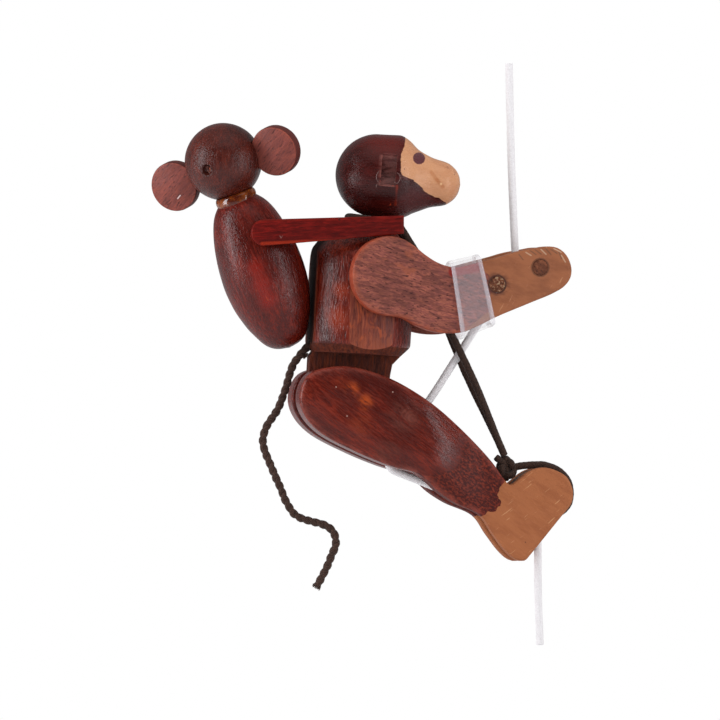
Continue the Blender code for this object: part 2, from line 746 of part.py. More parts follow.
def make_leg(name, side, wood, paint):
    form = carved_board(leg_outline(), LEG_INNER, leg_front, LEG_EASE, LEG_FACE_SPACING)
    bmesh.ops.transform(form, matrix=plane_to_world(side), verts=form.verts)
    leg = link_mesh(name, form, wood, HIP)
    leg.data.materials.append(paint)
    bores = (
        ("hip", HIP, BORE_RADIUS, HIP_DOWEL_IN_LEG),
        ("knee", KNEE_PIN, BORE_RADIUS, KNEE_PIN_IN_LEG),
        ("heel", HEEL_DOWEL, HEEL_DOWEL_RADIUS + GAP, HEEL_DOWEL_IN_LEG),
    )
    for label, centre, radius, depth in bores:
        start = centre + ACROSS * side * (LEG_INNER - CUTTER_OVERRUN)
        end = centre + ACROSS * side * (LEG_INNER + depth + GAP)
        cut(leg, bore(f"{name}_{label}_bore", start, end, radius))
    return leg


def baby_axis():
    return Vector((math.sin(BABY_TILT), 0.0, -math.cos(BABY_TILT)))


def baby_head_centre():
    return BABY_TOP - baby_axis() * BABY_NECK


def baby_ear(side, clearance=0.0):
    face = baby_head_centre() + BABY_EAR_LINE * side * BABY_EAR_REACH - UP * BABY_EAR_DROP
    front = face + BABY_FACE * clearance
    back = face - BABY_FACE * (BABY_EAR_THICKNESS + clearance)
    chamfer = 0.0 if clearance > 0.0 else DISC_CHAMFER
    return rod(back, front, BABY_EAR_RADIUS + clearance, DISC_SEGMENTS, chamfer)


def make_baby(wood, glue):
    form = turned(millimetres(BABY_PROFILE), BABY_SEGMENTS, frame_on(BABY_TOP, baby_axis()))
    body = link_mesh("baby_body", form, wood, BABY_PIN)
    seat = bmesh.new()
    bmesh.ops.create_icosphere(seat, subdivisions=4, radius=BABY_HEAD_RADIUS + GAP)
    bmesh.ops.translate(seat, verts=seat.verts, vec=baby_head_centre())
    cut(body, link_mesh("baby_head_seat", seat, None))
    half = BABY_NECK_DOWEL_LENGTH / 2.0
    top = BABY_TOP - baby_axis() * half
    bottom = BABY_TOP + baby_axis() * half
    neck_end = bottom + baby_axis() * GAP
    cut(body, bore("baby_neck_bore", BABY_TOP - baby_axis() * CUTTER_OVERRUN, neck_end, BORE_RADIUS))
    pin_cutter = across_rod(BABY_PIN, WIDE_CUTTER_HALF, BABY_PIN_RADIUS + GAP)
    cut(body, link_mesh("baby_pin_bore", pin_cutter, None))

    profile = []
    steps = 16
    for index in range(steps + 1):
        angle = math.pi * index / steps
        radius = 0.0 if index in (0, steps) else BABY_HEAD_RADIUS * math.sin(angle)
        profile.append((-BABY_HEAD_RADIUS * math.cos(angle), radius))
    centre = baby_head_centre()
    ball = turned(profile, BABY_SEGMENTS, frame_on(centre, BABY_FACE))
    head = link_mesh("baby_head", ball, wood, BABY_PIN)
    for side, label in ((-1.0, "left"), (1.0, "right")):
        cut(head, link_mesh(f"baby_{label}_pocket", baby_ear(side, GAP), None))
    bore_top = top - baby_axis() * GAP
    cut(head, bore("baby_head_bore", bore_top, BABY_TOP + baby_axis() * CUTTER_OVERRUN, BORE_RADIUS))
    mouth = centre + BABY_FACE * (BABY_HEAD_RADIUS + CUTTER_OVERRUN)
    nose_floor = centre + BABY_FACE * (BABY_HEAD_RADIUS - NOSE_DEPTH)
    cut(head, bore("nose_bore", nose_floor, mouth, NOSE_RADIUS + GAP, DOWEL_SEGMENTS))

    plug_end = centre + BABY_FACE * (BABY_HEAD_RADIUS - NOSE_SUNK)
    plug = rod(nose_floor + BABY_FACE * GAP, plug_end, NOSE_RADIUS, DOWEL_SEGMENTS, ROD_CHAMFER)
    link_mesh("baby_nose_plug", plug, wood, BABY_PIN)
    for side, label in ((-1.0, "left"), (1.0, "right")):
        link_mesh(f"baby_{label}_ear", baby_ear(side), wood, BABY_PIN)
    link_mesh("baby_neck_dowel", rod(top, bottom, DOWEL_RADIUS, chamfer=ROD_CHAMFER), wood, BABY_PIN)
    make_glue_ring(glue)


def make_glue_ring(glue):
    form = bmesh.new()
    matrix = frame_on(BABY_TOP + baby_axis() * GLUE_RING_BELOW, baby_axis())
    from_head = BABY_HEAD_RADIUS + GLUE_RADIUS + GLUE_GAP
    ring_radius = math.sqrt(from_head ** 2 - (BABY_NECK + GLUE_RING_BELOW) ** 2)
    loops = []
    for step in range(BABY_SEGMENTS):
        around = math.tau * step / BABY_SEGMENTS
        points = []
        for side in range(6):
            turn = math.tau * side / 6
            reach = ring_radius + GLUE_RADIUS * math.cos(turn)
            spot = (reach * math.cos(around), reach * math.sin(around), GLUE_RADIUS * math.sin(turn))
            points.append(matrix @ Vector(spot))
        loops.append(add_ring(form, points))
    for index, loop in enumerate(loops):
        bridge(form, loop, loops[(index + 1) % len(loops)])
    link_mesh("baby_neck_glue", form, glue, BABY_PIN)


def make_baby_arm(name, side, wood):
    centre = (-0.9 * MM, -0.5 * MM)
    outline = arc(centre, BABY_ARM_END_RADIUS, 98.0, 262.0, 10)
    outline += [
        Vector((BABY_ARM_LENGTH, BABY_ARM_END_BOTTOM)), Vector((BABY_ARM_LENGTH, BABY_ARM_END_TOP)),
    ]
    form = carved_board(outline, 0.0, lambda point, distance: BABY_ARM_THICKNESS, 0.5 * MM)
    matrix = baby_arm_matrix(side)
    bmesh.ops.transform(form, matrix=matrix, verts=form.verts)
    arm = link_mesh(name, form, wood)
    start = BABY_PIN + ACROSS * side * (BABY_ARM_INNER - CUTTER_OVERRUN)
    end = BABY_PIN + ACROSS * side * (BABY_ARM_INNER + BABY_PIN_IN_ARM + GAP)
    cut(arm, bore(f"{name}_bore", start, end, BABY_PIN_RADIUS + GAP))
    return arm


def make_string(cotton):
    """The string's five stretches, each a gap's width from the next."""
    slack = Vector((0.0, 0.0, GAP))
    upper = in_plane(((0.0, 0.0), (0.9, -38.0))) + [HANDS_TOP]
    cord("string_upper", upper, STRING_RADIUS, cotton)
    grip = [HANDS_TOP - slack] + in_plane(GRIP_ROUTE) + [HANDS_BOTTOM]
    cord("string_grip", grip, STRING_RADIUS, cotton)
    knee_wrap = DOWEL_RADIUS + STRING_RADIUS + GAP
    heel_wrap = HEEL_DOWEL_RADIUS + STRING_RADIUS + GAP
    middle = in_plane(MIDDLE_ROUTE)
    knee_start, knee_touch = tangent_point(KNEE_PIN, knee_wrap, middle[-1], 1.0)
    down = (middle[0] - HANDS_BOTTOM).normalized() * GAP
    towards = (middle[-1] - knee_touch).normalized() * GAP
    run = [HANDS_BOTTOM + down] + middle + [knee_touch + towards]
    cord("string_middle_run", run, STRING_RADIUS, cotton)
    span = HEEL_DOWEL - KNEE_PIN
    slope = math.atan2(span.z, span.x)
    lean = math.asin((heel_wrap + knee_wrap) / span.length)
    run_angle = slope + lean
    knee_end = run_angle - math.pi / 2.0 + math.tau
    heel_start = run_angle + math.pi / 2.0
    route = circle_points(KNEE_PIN, knee_wrap, knee_start, knee_end, 7)
    run_start = route[-1]
    heel = circle_points(HEEL_DOWEL, heel_wrap, heel_start, 0.0, 6)
    between = [run_start.lerp(heel[0], share / 6.0) for share in range(1, 6)]
    cord("string_foot_run", route + between + heel, STRING_RADIUS, cotton, HIP)
    start = heel[-1] - slack
    bottom = Vector((STRING_DRIFT, 0.0, -STRING_LENGTH))
    middle_point = start.lerp(bottom, 0.5) - Vector((0.3, 0.0, 0.0)) * MM
    cord("string_lower", [start, middle_point, bottom], STRING_RADIUS, cotton, HEEL_DOWEL)


def torso_direction(angle):
    """A direction square to the torso's axis; angle 0 is the chest, in degrees."""
    return on_torso(0.0, 1.0, angle) - TORSO_RIM


def neck_ring_point(angle):
    """A place on the elastic's turn round the neck, which lies on the torso's top in front."""
    rise = NECK_RING_RISE * (1.0 - math.cos(math.radians(angle))) / 2.0
    centre = neck_line(neck_top() + ELASTIC_RADIUS + GAP + rise)
    back = torso_direction(180.0) * NECK_RING_BACK
    return centre + back + torso_direction(angle) * NECK_RING_RADIUS


def make_elastic(rubber):
    """The doubled elastic cord: round the neck, down the chest, a knot and a loop on the feet."""
    ring_side = math.degrees(math.asin(ELASTIC_SPREAD / NECK_RING_RADIUS))
    steps = 14
    ring = []
    for index in range(steps + 1):
        ring.append(neck_ring_point(ring_side + (360.0 - 2.0 * ring_side) * index / steps))
    over_rim = RIM_EASE * (ELASTIC_RADIUS + GAP)
    chest = [on_torso(neck_top() + over_rim, TORSO_PROFILE[-1][1] * MM + over_rim)]
    for below in CHEST_POINTS_BELOW:
        height = neck_top() - below
        place = on_torso(height, torso_radius(height) + ELASTIC_RADIUS + ELASTIC_OFF_CHEST)
        chest.append(place)
    far_side = [place + ACROSS * ELASTIC_SPREAD for place in [CHEST_LEAVE] + chest[::-1]]
    near_side = [place - ACROSS * ELASTIC_SPREAD for place in chest + [CHEST_LEAVE]]
    cord("elastic_neck_loop", far_side + ring + near_side, ELASTIC_RADIUS, rubber)
    knot_top = KNOT_CENTRE + KNOT_ENTRY + UP * KNOT_SIZE.z
    leave = CHEST_LEAVE + (knot_top - CHEST_LEAVE).normalized() * GAP
    for name, side in (("elastic_near_strand", -1.0), ("elastic_far_strand", 1.0)):
        route = []
        for step in range(7):
            share = step / 6.0
            spread = ELASTIC_SPREAD + (ELASTIC_KNOT_SPREAD - ELASTIC_SPREAD) * fade(share, 0.55, 1.0)
            route.append(leave.lerp(knot_top, share) + ACROSS * side * spread)
        cord(name, route, ELASTIC_RADIUS, rubber)
    form = bmesh.new()
    bmesh.ops.create_icosphere(form, subdivisions=3, radius=1.0)
    bmesh.ops.transform(form, matrix=Matrix.Diagonal((*KNOT_SIZE, 1.0)), verts=form.verts)
    bmesh.ops.translate(form, verts=form.verts, vec=KNOT_CENTRE)
    knot = link_mesh("elastic_knot", form, rubber, HIP)
    combine(knot, bore("knot_stub", KNOT_CENTRE, KNOT_STUB_END, ELASTIC_RADIUS, 12), "UNION")
    cord("elastic_foot_loop", in_plane(FOOT_LOOP_ROUTE), ELASTIC_RADIUS, rubber, HIP)


def make_spacer(wood):
    outline = flat(INSTEP + SPACER_UNDERSIDE)
    link_mesh("foot_spacer", plate(outline, LEG_INNER - GAP, ROD_CHAMFER), wood, HIP)


def make_dowels(wood):
    for name, side in (("near_shoulder_dowel", -1.0), ("far_shoulder_dowel", 1.0)):
        start = shoulder_point(side, -SHOULDER_DOWEL_IN_TORSO)
        end = shoulder_point(side, SHOULDER_DOWEL_IN_ARM)
        link_mesh(name, rod(start, end, DOWEL_RADIUS, chamfer=ROD_CHAMFER), wood)
    low = neck_line(neck_top() - NECK_DOWEL_IN_TORSO)
    high = neck_line(head_underside() + NECK_DOWEL_IN_HEAD)
    link_mesh("neck_dowel", rod(low, high, DOWEL_RADIUS, chamfer=ROD_CHAMFER), wood)
    for name, centre in (("front_hand_peg", FRONT_PEG), ("rear_hand_peg", REAR_PEG)):
        half = hand_outside(centre) + PEG_PROUD
        link_mesh(name, across_rod(centre, half, DOWEL_RADIUS, ROD_CHAMFER), wood)
    hip_half = LEG_INNER + HIP_DOWEL_IN_LEG
    link_mesh("hip_pin", across_rod(HIP, hip_half, DOWEL_RADIUS, ROD_CHAMFER), wood)
    knee_half = LEG_INNER + KNEE_PIN_IN_LEG
    link_mesh("knee_pin", across_rod(KNEE_PIN, knee_half, DOWEL_RADIUS, ROD_CHAMFER), wood, HIP)
    heel_half = LEG_INNER + HEEL_DOWEL_IN_LEG
    link_mesh("heel_dowel", across_rod(HEEL_DOWEL, heel_half, HEEL_DOWEL_RADIUS, ROD_CHAMFER), wood, HIP)
    pin_half = BABY_ARM_INNER + BABY_PIN_IN_ARM
    link_mesh("baby_arm_pin", across_rod(BABY_PIN, pin_half, BABY_PIN_RADIUS, ROD_CHAMFER), wood)


def main():
    clear_scene()
    wood = make_material("stained_wood", (0.30, 0.075, 0.028), 0.42)
    paint = make_material("tan_paint", (0.66, 0.42, 0.22), 0.55)
    pale_wood = make_material("bare_wood", (0.45, 0.24, 0.11), 0.7)
    cotton = make_material("white_string", (0.85, 0.84, 0.80), 0.9)
    rubber = make_material("brown_elastic", (0.06, 0.03, 0.02), 0.8)
    tail_brown = make_material("tail_cord_brown", (0.16, 0.07, 0.035), 0.85)
    glue = make_material("amber_glue", (0.62, 0.30, 0.05), 0.2)
    plastic = make_material("clear_plastic", (0.9, 0.9, 0.92), 0.1, 0.3)

    make_torso(wood)
    make_head(wood)
    link_mesh("far_ear", ear_disc(1.0), wood, HEAD_CENTRE)
    make_arm("near_arm", -1.0, wood, paint)
    make_arm("far_arm", 1.0, wood, paint)
    make_cuff(plastic)
    make_leg("near_leg", -1.0, wood, paint)
    make_leg("far_leg", 1.0, wood, paint)
    make_spacer(paint)
    make_dowels(pale_wood)
    make_baby(wood, glue)
    make_baby_arm("baby_near_arm", -1.0, wood)
    make_baby_arm("baby_far_arm", 1.0, wood)
    make_string(cotton)
    make_elastic(rubber)
    socket = [tail_root(TAIL_HOLE_DEPTH - GAP), tail_root(0.0), tail_root(-TAIL_STRAIGHT)]
    cord("tail_cord", socket + in_plane(TAIL_ROUTE), TAIL_RADIUS, tail_brown)


main()
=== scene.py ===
"""The looks of a climbing monkey toy: stained turned wood, tan paint, cords and a clear cuff."""

import math

import bmesh
import bpy
import numpy as np
from mathutils import Matrix, Vector, noise
from mathutils.bvhtree import BVHTree
from mathutils.geometry import delaunay_2d_cdt


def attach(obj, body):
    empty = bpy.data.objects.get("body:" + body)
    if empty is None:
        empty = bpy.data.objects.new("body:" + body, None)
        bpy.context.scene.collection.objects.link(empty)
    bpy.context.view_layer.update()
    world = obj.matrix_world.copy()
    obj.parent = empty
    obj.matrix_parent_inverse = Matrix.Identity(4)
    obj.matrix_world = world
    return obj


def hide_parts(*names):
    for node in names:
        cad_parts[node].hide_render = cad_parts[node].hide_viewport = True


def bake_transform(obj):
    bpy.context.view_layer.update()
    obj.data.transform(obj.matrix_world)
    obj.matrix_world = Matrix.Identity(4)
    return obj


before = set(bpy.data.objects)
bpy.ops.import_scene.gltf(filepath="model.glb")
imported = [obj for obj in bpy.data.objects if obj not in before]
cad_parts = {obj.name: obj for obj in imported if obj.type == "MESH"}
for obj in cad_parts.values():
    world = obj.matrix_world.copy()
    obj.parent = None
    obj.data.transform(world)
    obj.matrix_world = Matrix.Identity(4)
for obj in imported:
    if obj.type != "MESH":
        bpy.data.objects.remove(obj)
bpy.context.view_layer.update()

MM = 0.001
PER_MM = 1000.0
UP = Vector((0.0, 0.0, 1.0))
ACROSS = Vector((0.0, 1.0, 0.0))
GAP = 0.3 * MM

# Photograph
PHOTO_SIZE = 720
PHOTO_SCALE = 0.4 * MM
STRING_TOP_PIXEL = (509.0, 63.0)
VIEW_TURN = math.radians(10.0)
VIEW_RISE = math.radians(-0.6)
VIEW_DISTANCE = 8.0
SENSOR = 36.0

# Shapes shared with the solids
TORSO_LEAN = math.radians(3.2)
TORSO_RIM = Vector((-62.0, 0.0, -112.8)) * MM
TORSO_PROFILE = (
    (-3.8, 17.8), (-0.35, 21.15), (0.0, 21.35), (0.4, 21.5), (4.8, 21.6), (18.0, 21.7), (27.0, 21.6),
    (32.5, 21.3), (36.0, 20.6), (39.6, 18.4), (42.6, 16.0), (45.0, 14.0), (46.4, 12.85),
    (46.75, 12.45), (46.8, 12.0),
)
BACK_FLAT_REACH = 19.1 * MM
TORSO_TOP = 46.8 * MM
TONGUE_HALF_WIDTH = 3.3 * MM
TONGUE_ROUND_RADIUS = 11.0 * MM
HIP = Vector((-70.4, 0.0, -135.6)) * MM
SHOULDER = Vector((-58.7, 0.0, -85.6)) * MM
ARM_YAW = math.radians(7.0)
ARM_INNER = 19.5 * MM
ARM_THICKNESS = 6.0 * MM
ARM_DISC_CENTRE = 3.2 * MM
ARM_DISC_RADIUS = 15.8 * MM
FRONT_PEG = Vector((9.5, 0.0, -82.0)) * MM
REAR_PEG = Vector((-8.3, 0.0, -88.8)) * MM
PEG_RADIUS = 3.175 * MM
HEAD_CENTRE = Vector((-53.6, 0.0, -45.3)) * MM
HEAD_RADIUS = 16.6 * MM
HEAD_TURN = math.radians(10.0)
HEAD_NOD = math.radians(4.5)
MUZZLE_PROFILE = (
    (4.0, 16.7), (8.0, 16.8), (8.7, 16.72), (9.4, 16.5), (12.4, 15.1), (15.6, 12.8), (18.8, 11.2),
    (21.6, 10.0), (24.0, 9.4), (26.4, 8.9), (28.4, 8.2), (30.0, 7.1), (31.2, 6.0),
    (32.2, 4.6), (32.9, 3.0), (33.4, 0.0),
)
MUZZLE_DROOP = 1.1 * MM
EAR_RADIUS = 10.0 * MM
EAR_THICKNESS = 5.3 * MM
EAR_REACH = 23.0 * MM
EAR_AHEAD = 4.5 * MM
EAR_ABOVE = 3.6 * MM
LEG_INNER = 3.6 * MM
THIGH_WALL = 11.5 * MM
FOOT_WALL = 6.5 * MM
THIGH_CROWN = 2.5 * MM
CROWN_REACH = 9.0 * MM
ANKLE_FROM = -38.0 * MM
ANKLE_TO = -6.0 * MM
KNEE_PIN = Vector((-44.3, 0.0, -158.6)) * MM
HEEL_DOWEL = Vector((5.2, 0.0, -190.5)) * MM
HEEL_DOWEL_RADIUS = 4.6 * MM
INSTEP = (
    (2.6, -166.4), (6.6, -163.4), (12.0, -161.8), (17.7, -163.1), (22.1, -166.0),
    (24.4, -172.0), (23.4, -176.7),
)
BABY_TOP = Vector((-111.7, 0.0, -51.4)) * MM
BABY_TILT = math.radians(19.9)
BABY_PROFILE = (
    (0.0, 0.0), (0.8, 3.4), (2.8, 6.4), (5.2, 9.0), (8.0, 11.1), (14.0, 13.6), (24.0, 15.8),
    (35.0, 16.7), (44.0, 16.0), (49.6, 14.7), (54.4, 13.1), (57.6, 11.6), (61.6, 9.4),
    (64.0, 7.3), (65.6, 4.6), (66.6, 0.0),
)
BABY_NECK = 12.3 * MM
BABY_HEAD_RADIUS = 15.45 * MM
BABY_EAR_LINE = Vector((0.757, -0.580, 0.290)).normalized()
BABY_FACE = Vector((-0.560, -0.790, -0.235)).normalized()
BABY_EAR_RADIUS = 10.0 * MM
BABY_EAR_THICKNESS = 5.0 * MM
BABY_EAR_REACH = 23.6 * MM
BABY_EAR_DROP = 3.1 * MM
GLUE_RING_RADIUS = 7.6 * MM
GLUE_RING_BELOW = 2.35 * MM
BABY_PIN = Vector((-101.6, 0.0, -68.0)) * MM
BABY_ARM_YAW = math.radians(1.6)
BABY_ARM_INNER = 16.5 * MM
BABY_ARM_THICKNESS = 4.0 * MM
BABY_ARM_END_RADIUS = 5.3 * MM
BABY_ARM_LENGTH = 55.2 * MM
BABY_ARM_END_TOP = 6.5 * MM
BABY_ARM_END_BOTTOM = -0.8 * MM

# Sizes of the cords
STRING_RADIUS = 1.6 * MM
ELASTIC_RADIUS = 1.5 * MM
TAIL_RADIUS = 1.7 * MM
NECK_RING_RADIUS = 9.2 * MM
NECK_RING_BACK = 1.4 * MM
NECK_RING_RISE = 2.2 * MM

# How finely shapes are made
BOARD_SPACING = 1.1 * MM
BOARD_SMOOTHING = 50.0
WALL_STEPS = 4
CORD_STEP = 0.3 * MM
CORD_SMOOTHING = 80.0
KNOT_STEPS = 120
FRAY_COUNT = 26
BALL_STEPS = 34
GLUE_STEPS = 120
CUFF_END_STEPS = 20
CUFF_SIDE_STEPS = 16
SHARP_ANGLE = math.radians(28.0)
SLAB_WIDTH = 120.0 * MM
SLAB_DEPTH = 10.0 * MM
DRILL_REACH = 45.0 * MM

# Edges and fits
ARM_EASE = 0.9 * MM
LEG_EASE = 1.1 * MM
BABY_ARM_EASE = 0.45 * MM
EAR_CHAMFER = 0.8 * MM
PEG_PLAY = 0.12 * MM
PEG_PROUD = 0.15 * MM
CUFF_WALL = 1.0 * MM
CUFF_BULGE = 1.6 * MM
CUFF_BOW = 0.25 * MM
CUFF_LEFT = (Vector((28.2, -82.6)), Vector((32.1, -108.2)))
CUFF_RIGHT = (Vector((40.9, -79.6)), Vector((46.3, -102.6)))
ARM_EDGE = (
    (8.6, -102.4), (14.5, -105.4), (20.0, -107.4), (26.2, -108.4), (33.3, -108.0), (40.0, -105.4),
    (47.1, -102.0), (62.0, -96.0), (71.2, -92.3), (76.0, -89.4), (78.5, -86.0), (78.9, -82.0),
    (76.8, -77.0), (73.0, -74.1), (68.0, -73.6), (63.4, -74.4), (56.0, -75.8), (51.3, -77.2),
    (42.1, -79.6), (35.0, -81.4), (29.1, -82.0), (22.9, -80.2), (17.6, -77.0), (12.9, -73.4),
    (8.0, -70.7),
)
TONGUE_SPACING = 1.6 * MM
TONGUE_EASE = 0.35 * MM
TONGUE_FRONT = ((-44.7, -108.0), (-44.7, -117.6), (-47.9, -120.8), (-48.6, -124.0), (-50.0, -133.0))
TONGUE_BACK = ((-84.3, -121.4), (-80.2, -115.6), (-79.0, -108.0))
LEG_EDGE = ((20.6, -180.2),) + INSTEP[::-1] + (
    (-1.2, -168.8), (-4.2, -165.8), (-8.4, -159.9), (-21.7, -146.4), (-36.2, -134.7), (-51.7, -126.0),
    (-67.3, -121.6), (-77.0, -122.2), (-83.4, -124.6), (-86.6, -129.4), (-87.4, -135.6), (-85.2, -141.6),
    (-79.2, -148.0), (-64.5, -155.8), (-49.3, -161.8), (-41.0, -163.9), (-36.3, -166.7), (-31.2, -171.4),
    (-24.5, -175.8), (-13.4, -181.0), (-8.2, -188.4), (-2.6, -195.6), (1.2, -198.6), (4.6, -199.1),
    (7.6, -196.0),
)

# Routes of the cords
HANDS_TOP = Vector((2.44, 0.0, -75.6)) * MM
HANDS_BOTTOM = Vector((-11.6, 0.0, -102.8)) * MM
STRING_BOTTOM = Vector((12.6, 0.0, -232.8)) * MM
ELASTIC_PITCH = 3.4 * MM
ELASTIC_SPREAD = 3.6 * MM
CHEST_LEAVE = Vector((-36.9, 0.0, -79.2)) * MM
KNOT = Vector((-1.2, 0.0, -162.4)) * MM
FOOT_LOOP = (
    (-0.4, -162.6), (3.4, -161.4), (9.0, -160.8), (14.6, -160.9), (20.3, -163.2), (24.0, -167.4),
    (24.9, -173.0), (23.6, -177.2), (20.0, -179.8), (13.0, -178.2), (5.0, -175.5), (0.6, -174.1),
    (-2.3, -172.3), (-3.1, -169.9), (-2.6, -166.9), (-2.0, -164.4),
)
TAIL_LAY = 6.4 * MM
TAIL_STRAND_OFFSET = 0.55 * MM
TAIL_STRAND_RADIUS = 1.1 * MM
TAIL_ROUTE = (
    (-85.5, -118.0), (-87.3, -120.2), (-88.7, -123.6), (-90.8, -130.7), (-93.9, -138.7), (-98.6, -146.0),
    (-99.9, -152.0), (-97.2, -159.9), (-93.1, -169.2), (-90.0, -176.4), (-86.6, -180.9), (-81.1, -183.2),
    (-75.6, -184.6), (-71.5, -187.4), (-70.3, -192.0), (-72.3, -197.6), (-74.9, -203.6), (-78.0, -209.2),
)

# Pixels of the photograph: edges of paint, marks and scratches
MASK_LINE = (
    (404.6, 146.0), (403.2, 148.0), (402.8, 151.0), (401.2, 154.0), (400.6, 160.0), (400.8, 172.0),
    (402.6, 175.4), (404.9, 177.2), (407.6, 177.6), (410.8, 180.0), (414.0, 180.0), (416.6, 182.6),
    (418.7, 184.8), (422.0, 187.6), (424.3, 191.3), (429.0, 194.0), (435.5, 197.4), (439.0, 197.8),
    (442.6, 200.6), (446.0, 202.4),
)
EYE_PIXEL = (419.0, 158.3)
HAND_PAINT_LINE = (
    (480.0, 240.0), (481.6, 262.0), (483.0, 271.0), (488.0, 274.0), (491.4, 281.0), (492.4, 290.0),
    (489.6, 296.0), (490.4, 304.0), (489.6, 311.0), (478.0, 319.6), (467.0, 328.0), (455.0, 345.0),
)
FOOT_PAINT_LINE = (
    (507.0, 478.0), (503.8, 483.0), (499.6, 487.4), (499.0, 492.0), (497.0, 494.0), (498.6, 498.6),
    (501.2, 500.6), (500.8, 505.6), (497.0, 507.4), (496.4, 511.4), (491.4, 512.0), (487.6, 511.0),
    (484.6, 514.8), (481.0, 516.6), (478.0, 524.0),
)
ANKLE_LINE = (
    (478.0, 424.0), (466.0, 437.0), (461.6, 447.0), (459.0, 458.0), (453.0, 468.0), (438.0, 473.0),
    (421.0, 477.0), (404.0, 500.0),
)
GLUE_TRACES = (
    ((397.2, 172.6), (399.8, 175.4), (399.6, 180.0), (396.8, 183.4), (394.2, 182.0)),
    ((378.6, 171.4), (376.6, 175.0), (376.4, 179.0), (378.4, 182.0)),
    ((376.6, 184.0), (376.2, 187.4)),
)
HEAD_SCRATCHES = (
    ((393.4, 181.0), (390.4, 205.0), 0.25, (190, 70, 34), 0.8),
    ((397.0, 186.0), (395.4, 205.0), 0.5, (140, 44, 24), 0.6),
    ((382.4, 156.0), (380.4, 182.0), 0.2, (170, 60, 44), 0.5),
    ((384.0, 153.8), (396.0, 154.4), 0.2, (132, 76, 72), 0.5),
    ((397.0, 156.0), (394.6, 181.0), 0.2, (132, 76, 72), 0.5),
)
MUZZLE_SMEARS = (
    ((431.0, 172.0), (437.0, 180.0), 0.3, 1.3, (196, 128, 82), 0.7),
    ((437.0, 180.0), (443.0, 187.0), 0.2, 1.2, (190, 120, 76), 0.8),
)
MUZZLE_CHIP = (441.0, 184.0)
BROW_SCUFF = ((442.0, 166.0), (455.0, 172.0))
MASK_SPECKS = ((454.4, 174.4), (404.6, 169.0))
TORSO_GLOWS = (
    ((337.0, 318.0), 1.0, 7.0, 0.65), ((341.0, 290.0), 1.0, 5.0, 0.6), ((344.0, 245.0), 0.5, 4.0, 0.5),
    ((352.0, 330.0), 0.5, 4.0, 0.4),
)
FLAT_RUBS = (((355.0, 312.0), (372.0, 330.0), 0.6), ((396.0, 340.0), (402.0, 316.0), 0.9))
HAND_SCRATCHES = (
    ((526.0, 252.4), (531.0, 255.4)), ((530.0, 250.4), (536.0, 254.6)), ((535.0, 249.6), (541.0, 254.0)),
    ((541.0, 249.4), (546.0, 254.2)), ((546.0, 248.8), (551.0, 254.6)), ((551.0, 249.4), (557.0, 253.4)),
    ((554.0, 248.6), (561.0, 252.2)), ((559.0, 252.6), (561.6, 258.6)), ((519.0, 254.6), (523.0, 259.6)),
    ((561.4, 255.4), (565.4, 262.0)),
)
RED_UNDER_CUFF = ((453.0, 272.0), (478.0, 267.0))
LEG_GLOWS = (
    ((352.0, 389.0), 0.6, 4.4, (176, 70, 22), 0.85), ((365.0, 402.0), 0.6, 4.6, (182, 74, 20), 0.85),
    ((341.0, 383.0), 0.5, 4.0, (150, 56, 28), 0.5), ((332.0, 408.0), 0.5, 4.0, (140, 44, 22), 0.6),
    ((360.0, 425.0), 1.0, 8.0, (140, 52, 24), 0.5), ((388.0, 455.0), 1.0, 8.0, (112, 50, 34), 0.5),
    ((405.0, 415.0), 1.0, 9.0, (132, 70, 56), 0.6),
)
LEG_WHORL = (412.0, 418.0)
LEG_SPECKS = ((336.0, 387.0), (393.0, 392.0), (347.0, 416.0))
FOOT_SPECK = (525.4, 542.3)
STRAP_LOWER_EDGE = ((262.0, 243.6), (352.0, 239.0))
STRAP_NICK = (281.0, 238.0)
STRAP_DARK_SPOT = (339.0, 219.4)
YOUNG_GLOWS = (
    ((262.0, 285.0), 7.0, 0.75), ((268.0, 300.0), 6.0, 0.7), ((256.0, 268.0), 6.0, 0.7),
    ((238.0, 300.0), 5.0, 0.4),
)
YOUNG_SCRATCHES = (
    ((244.0, 292.0), (252.0, 325.0)), ((256.0, 290.0), (262.0, 318.0)), ((262.0, 288.0), (268.0, 300.0)),
    ((236.0, 300.0), (242.0, 322.0)),
)
YOUNG_EAR_SCRATCH = ((177.6, 198.6), (180.2, 195.4))

# Where those marks lie along Y, in millimetres
TORSO_GLOW_DEPTH = -19.0
FLAT_RUB_DEPTH = -17.0
LEG_GLOW_DEPTH = -17.0
LEG_WHORL_DEPTH = -16.0
LEG_SPECK_DEPTH = -17.4
FOOT_SPECK_DEPTH = -10.1
STRAP_DEPTH = -20.5
YOUNG_GLOW_DEPTH = -14.5
YOUNG_SCRATCH_DEPTH = -15.0

# The painted shade ring in the gap round each hand peg, in millimetres
PEG_SHADE_RING_INSIDE = 3.15
PEG_SHADE_RING_OUTSIDE = 3.7
PEG_SHADE_RING_FADE = 0.35

# Light and gloss
WORLD_LIGHT = 0.71
FLOOR_HEIGHT = -0.30
FLOOR_GLOW = 0.62
WHITE = (1.0, 1.0, 1.0, 1.0)
PALE = (0.97, 0.98, 1.0, 1.0)
LAMP_AIM = Vector((-0.055, 0.0, -0.115))
COAT_SHARE = 0.45


TORSO_AXIS = Vector((math.sin(TORSO_LEAN), 0.0, math.cos(TORSO_LEAN)))
BABY_AXIS = Vector((math.sin(BABY_TILT), 0.0, -math.cos(BABY_TILT)))
BABY_HEAD_CENTRE = BABY_TOP - BABY_AXIS * BABY_NECK


def linear(red, green, blue):
    """Colour values of 0 to 255, as a screen shows them, turned into scene values."""
    result = []
    for value in (red, green, blue):
        share = value / 255.0
        result.append(share / 12.92 if share <= 0.04045 else ((share + 0.055) / 1.055) ** 2.4)
    return (*result, 1.0)


# Node trees and plain materials


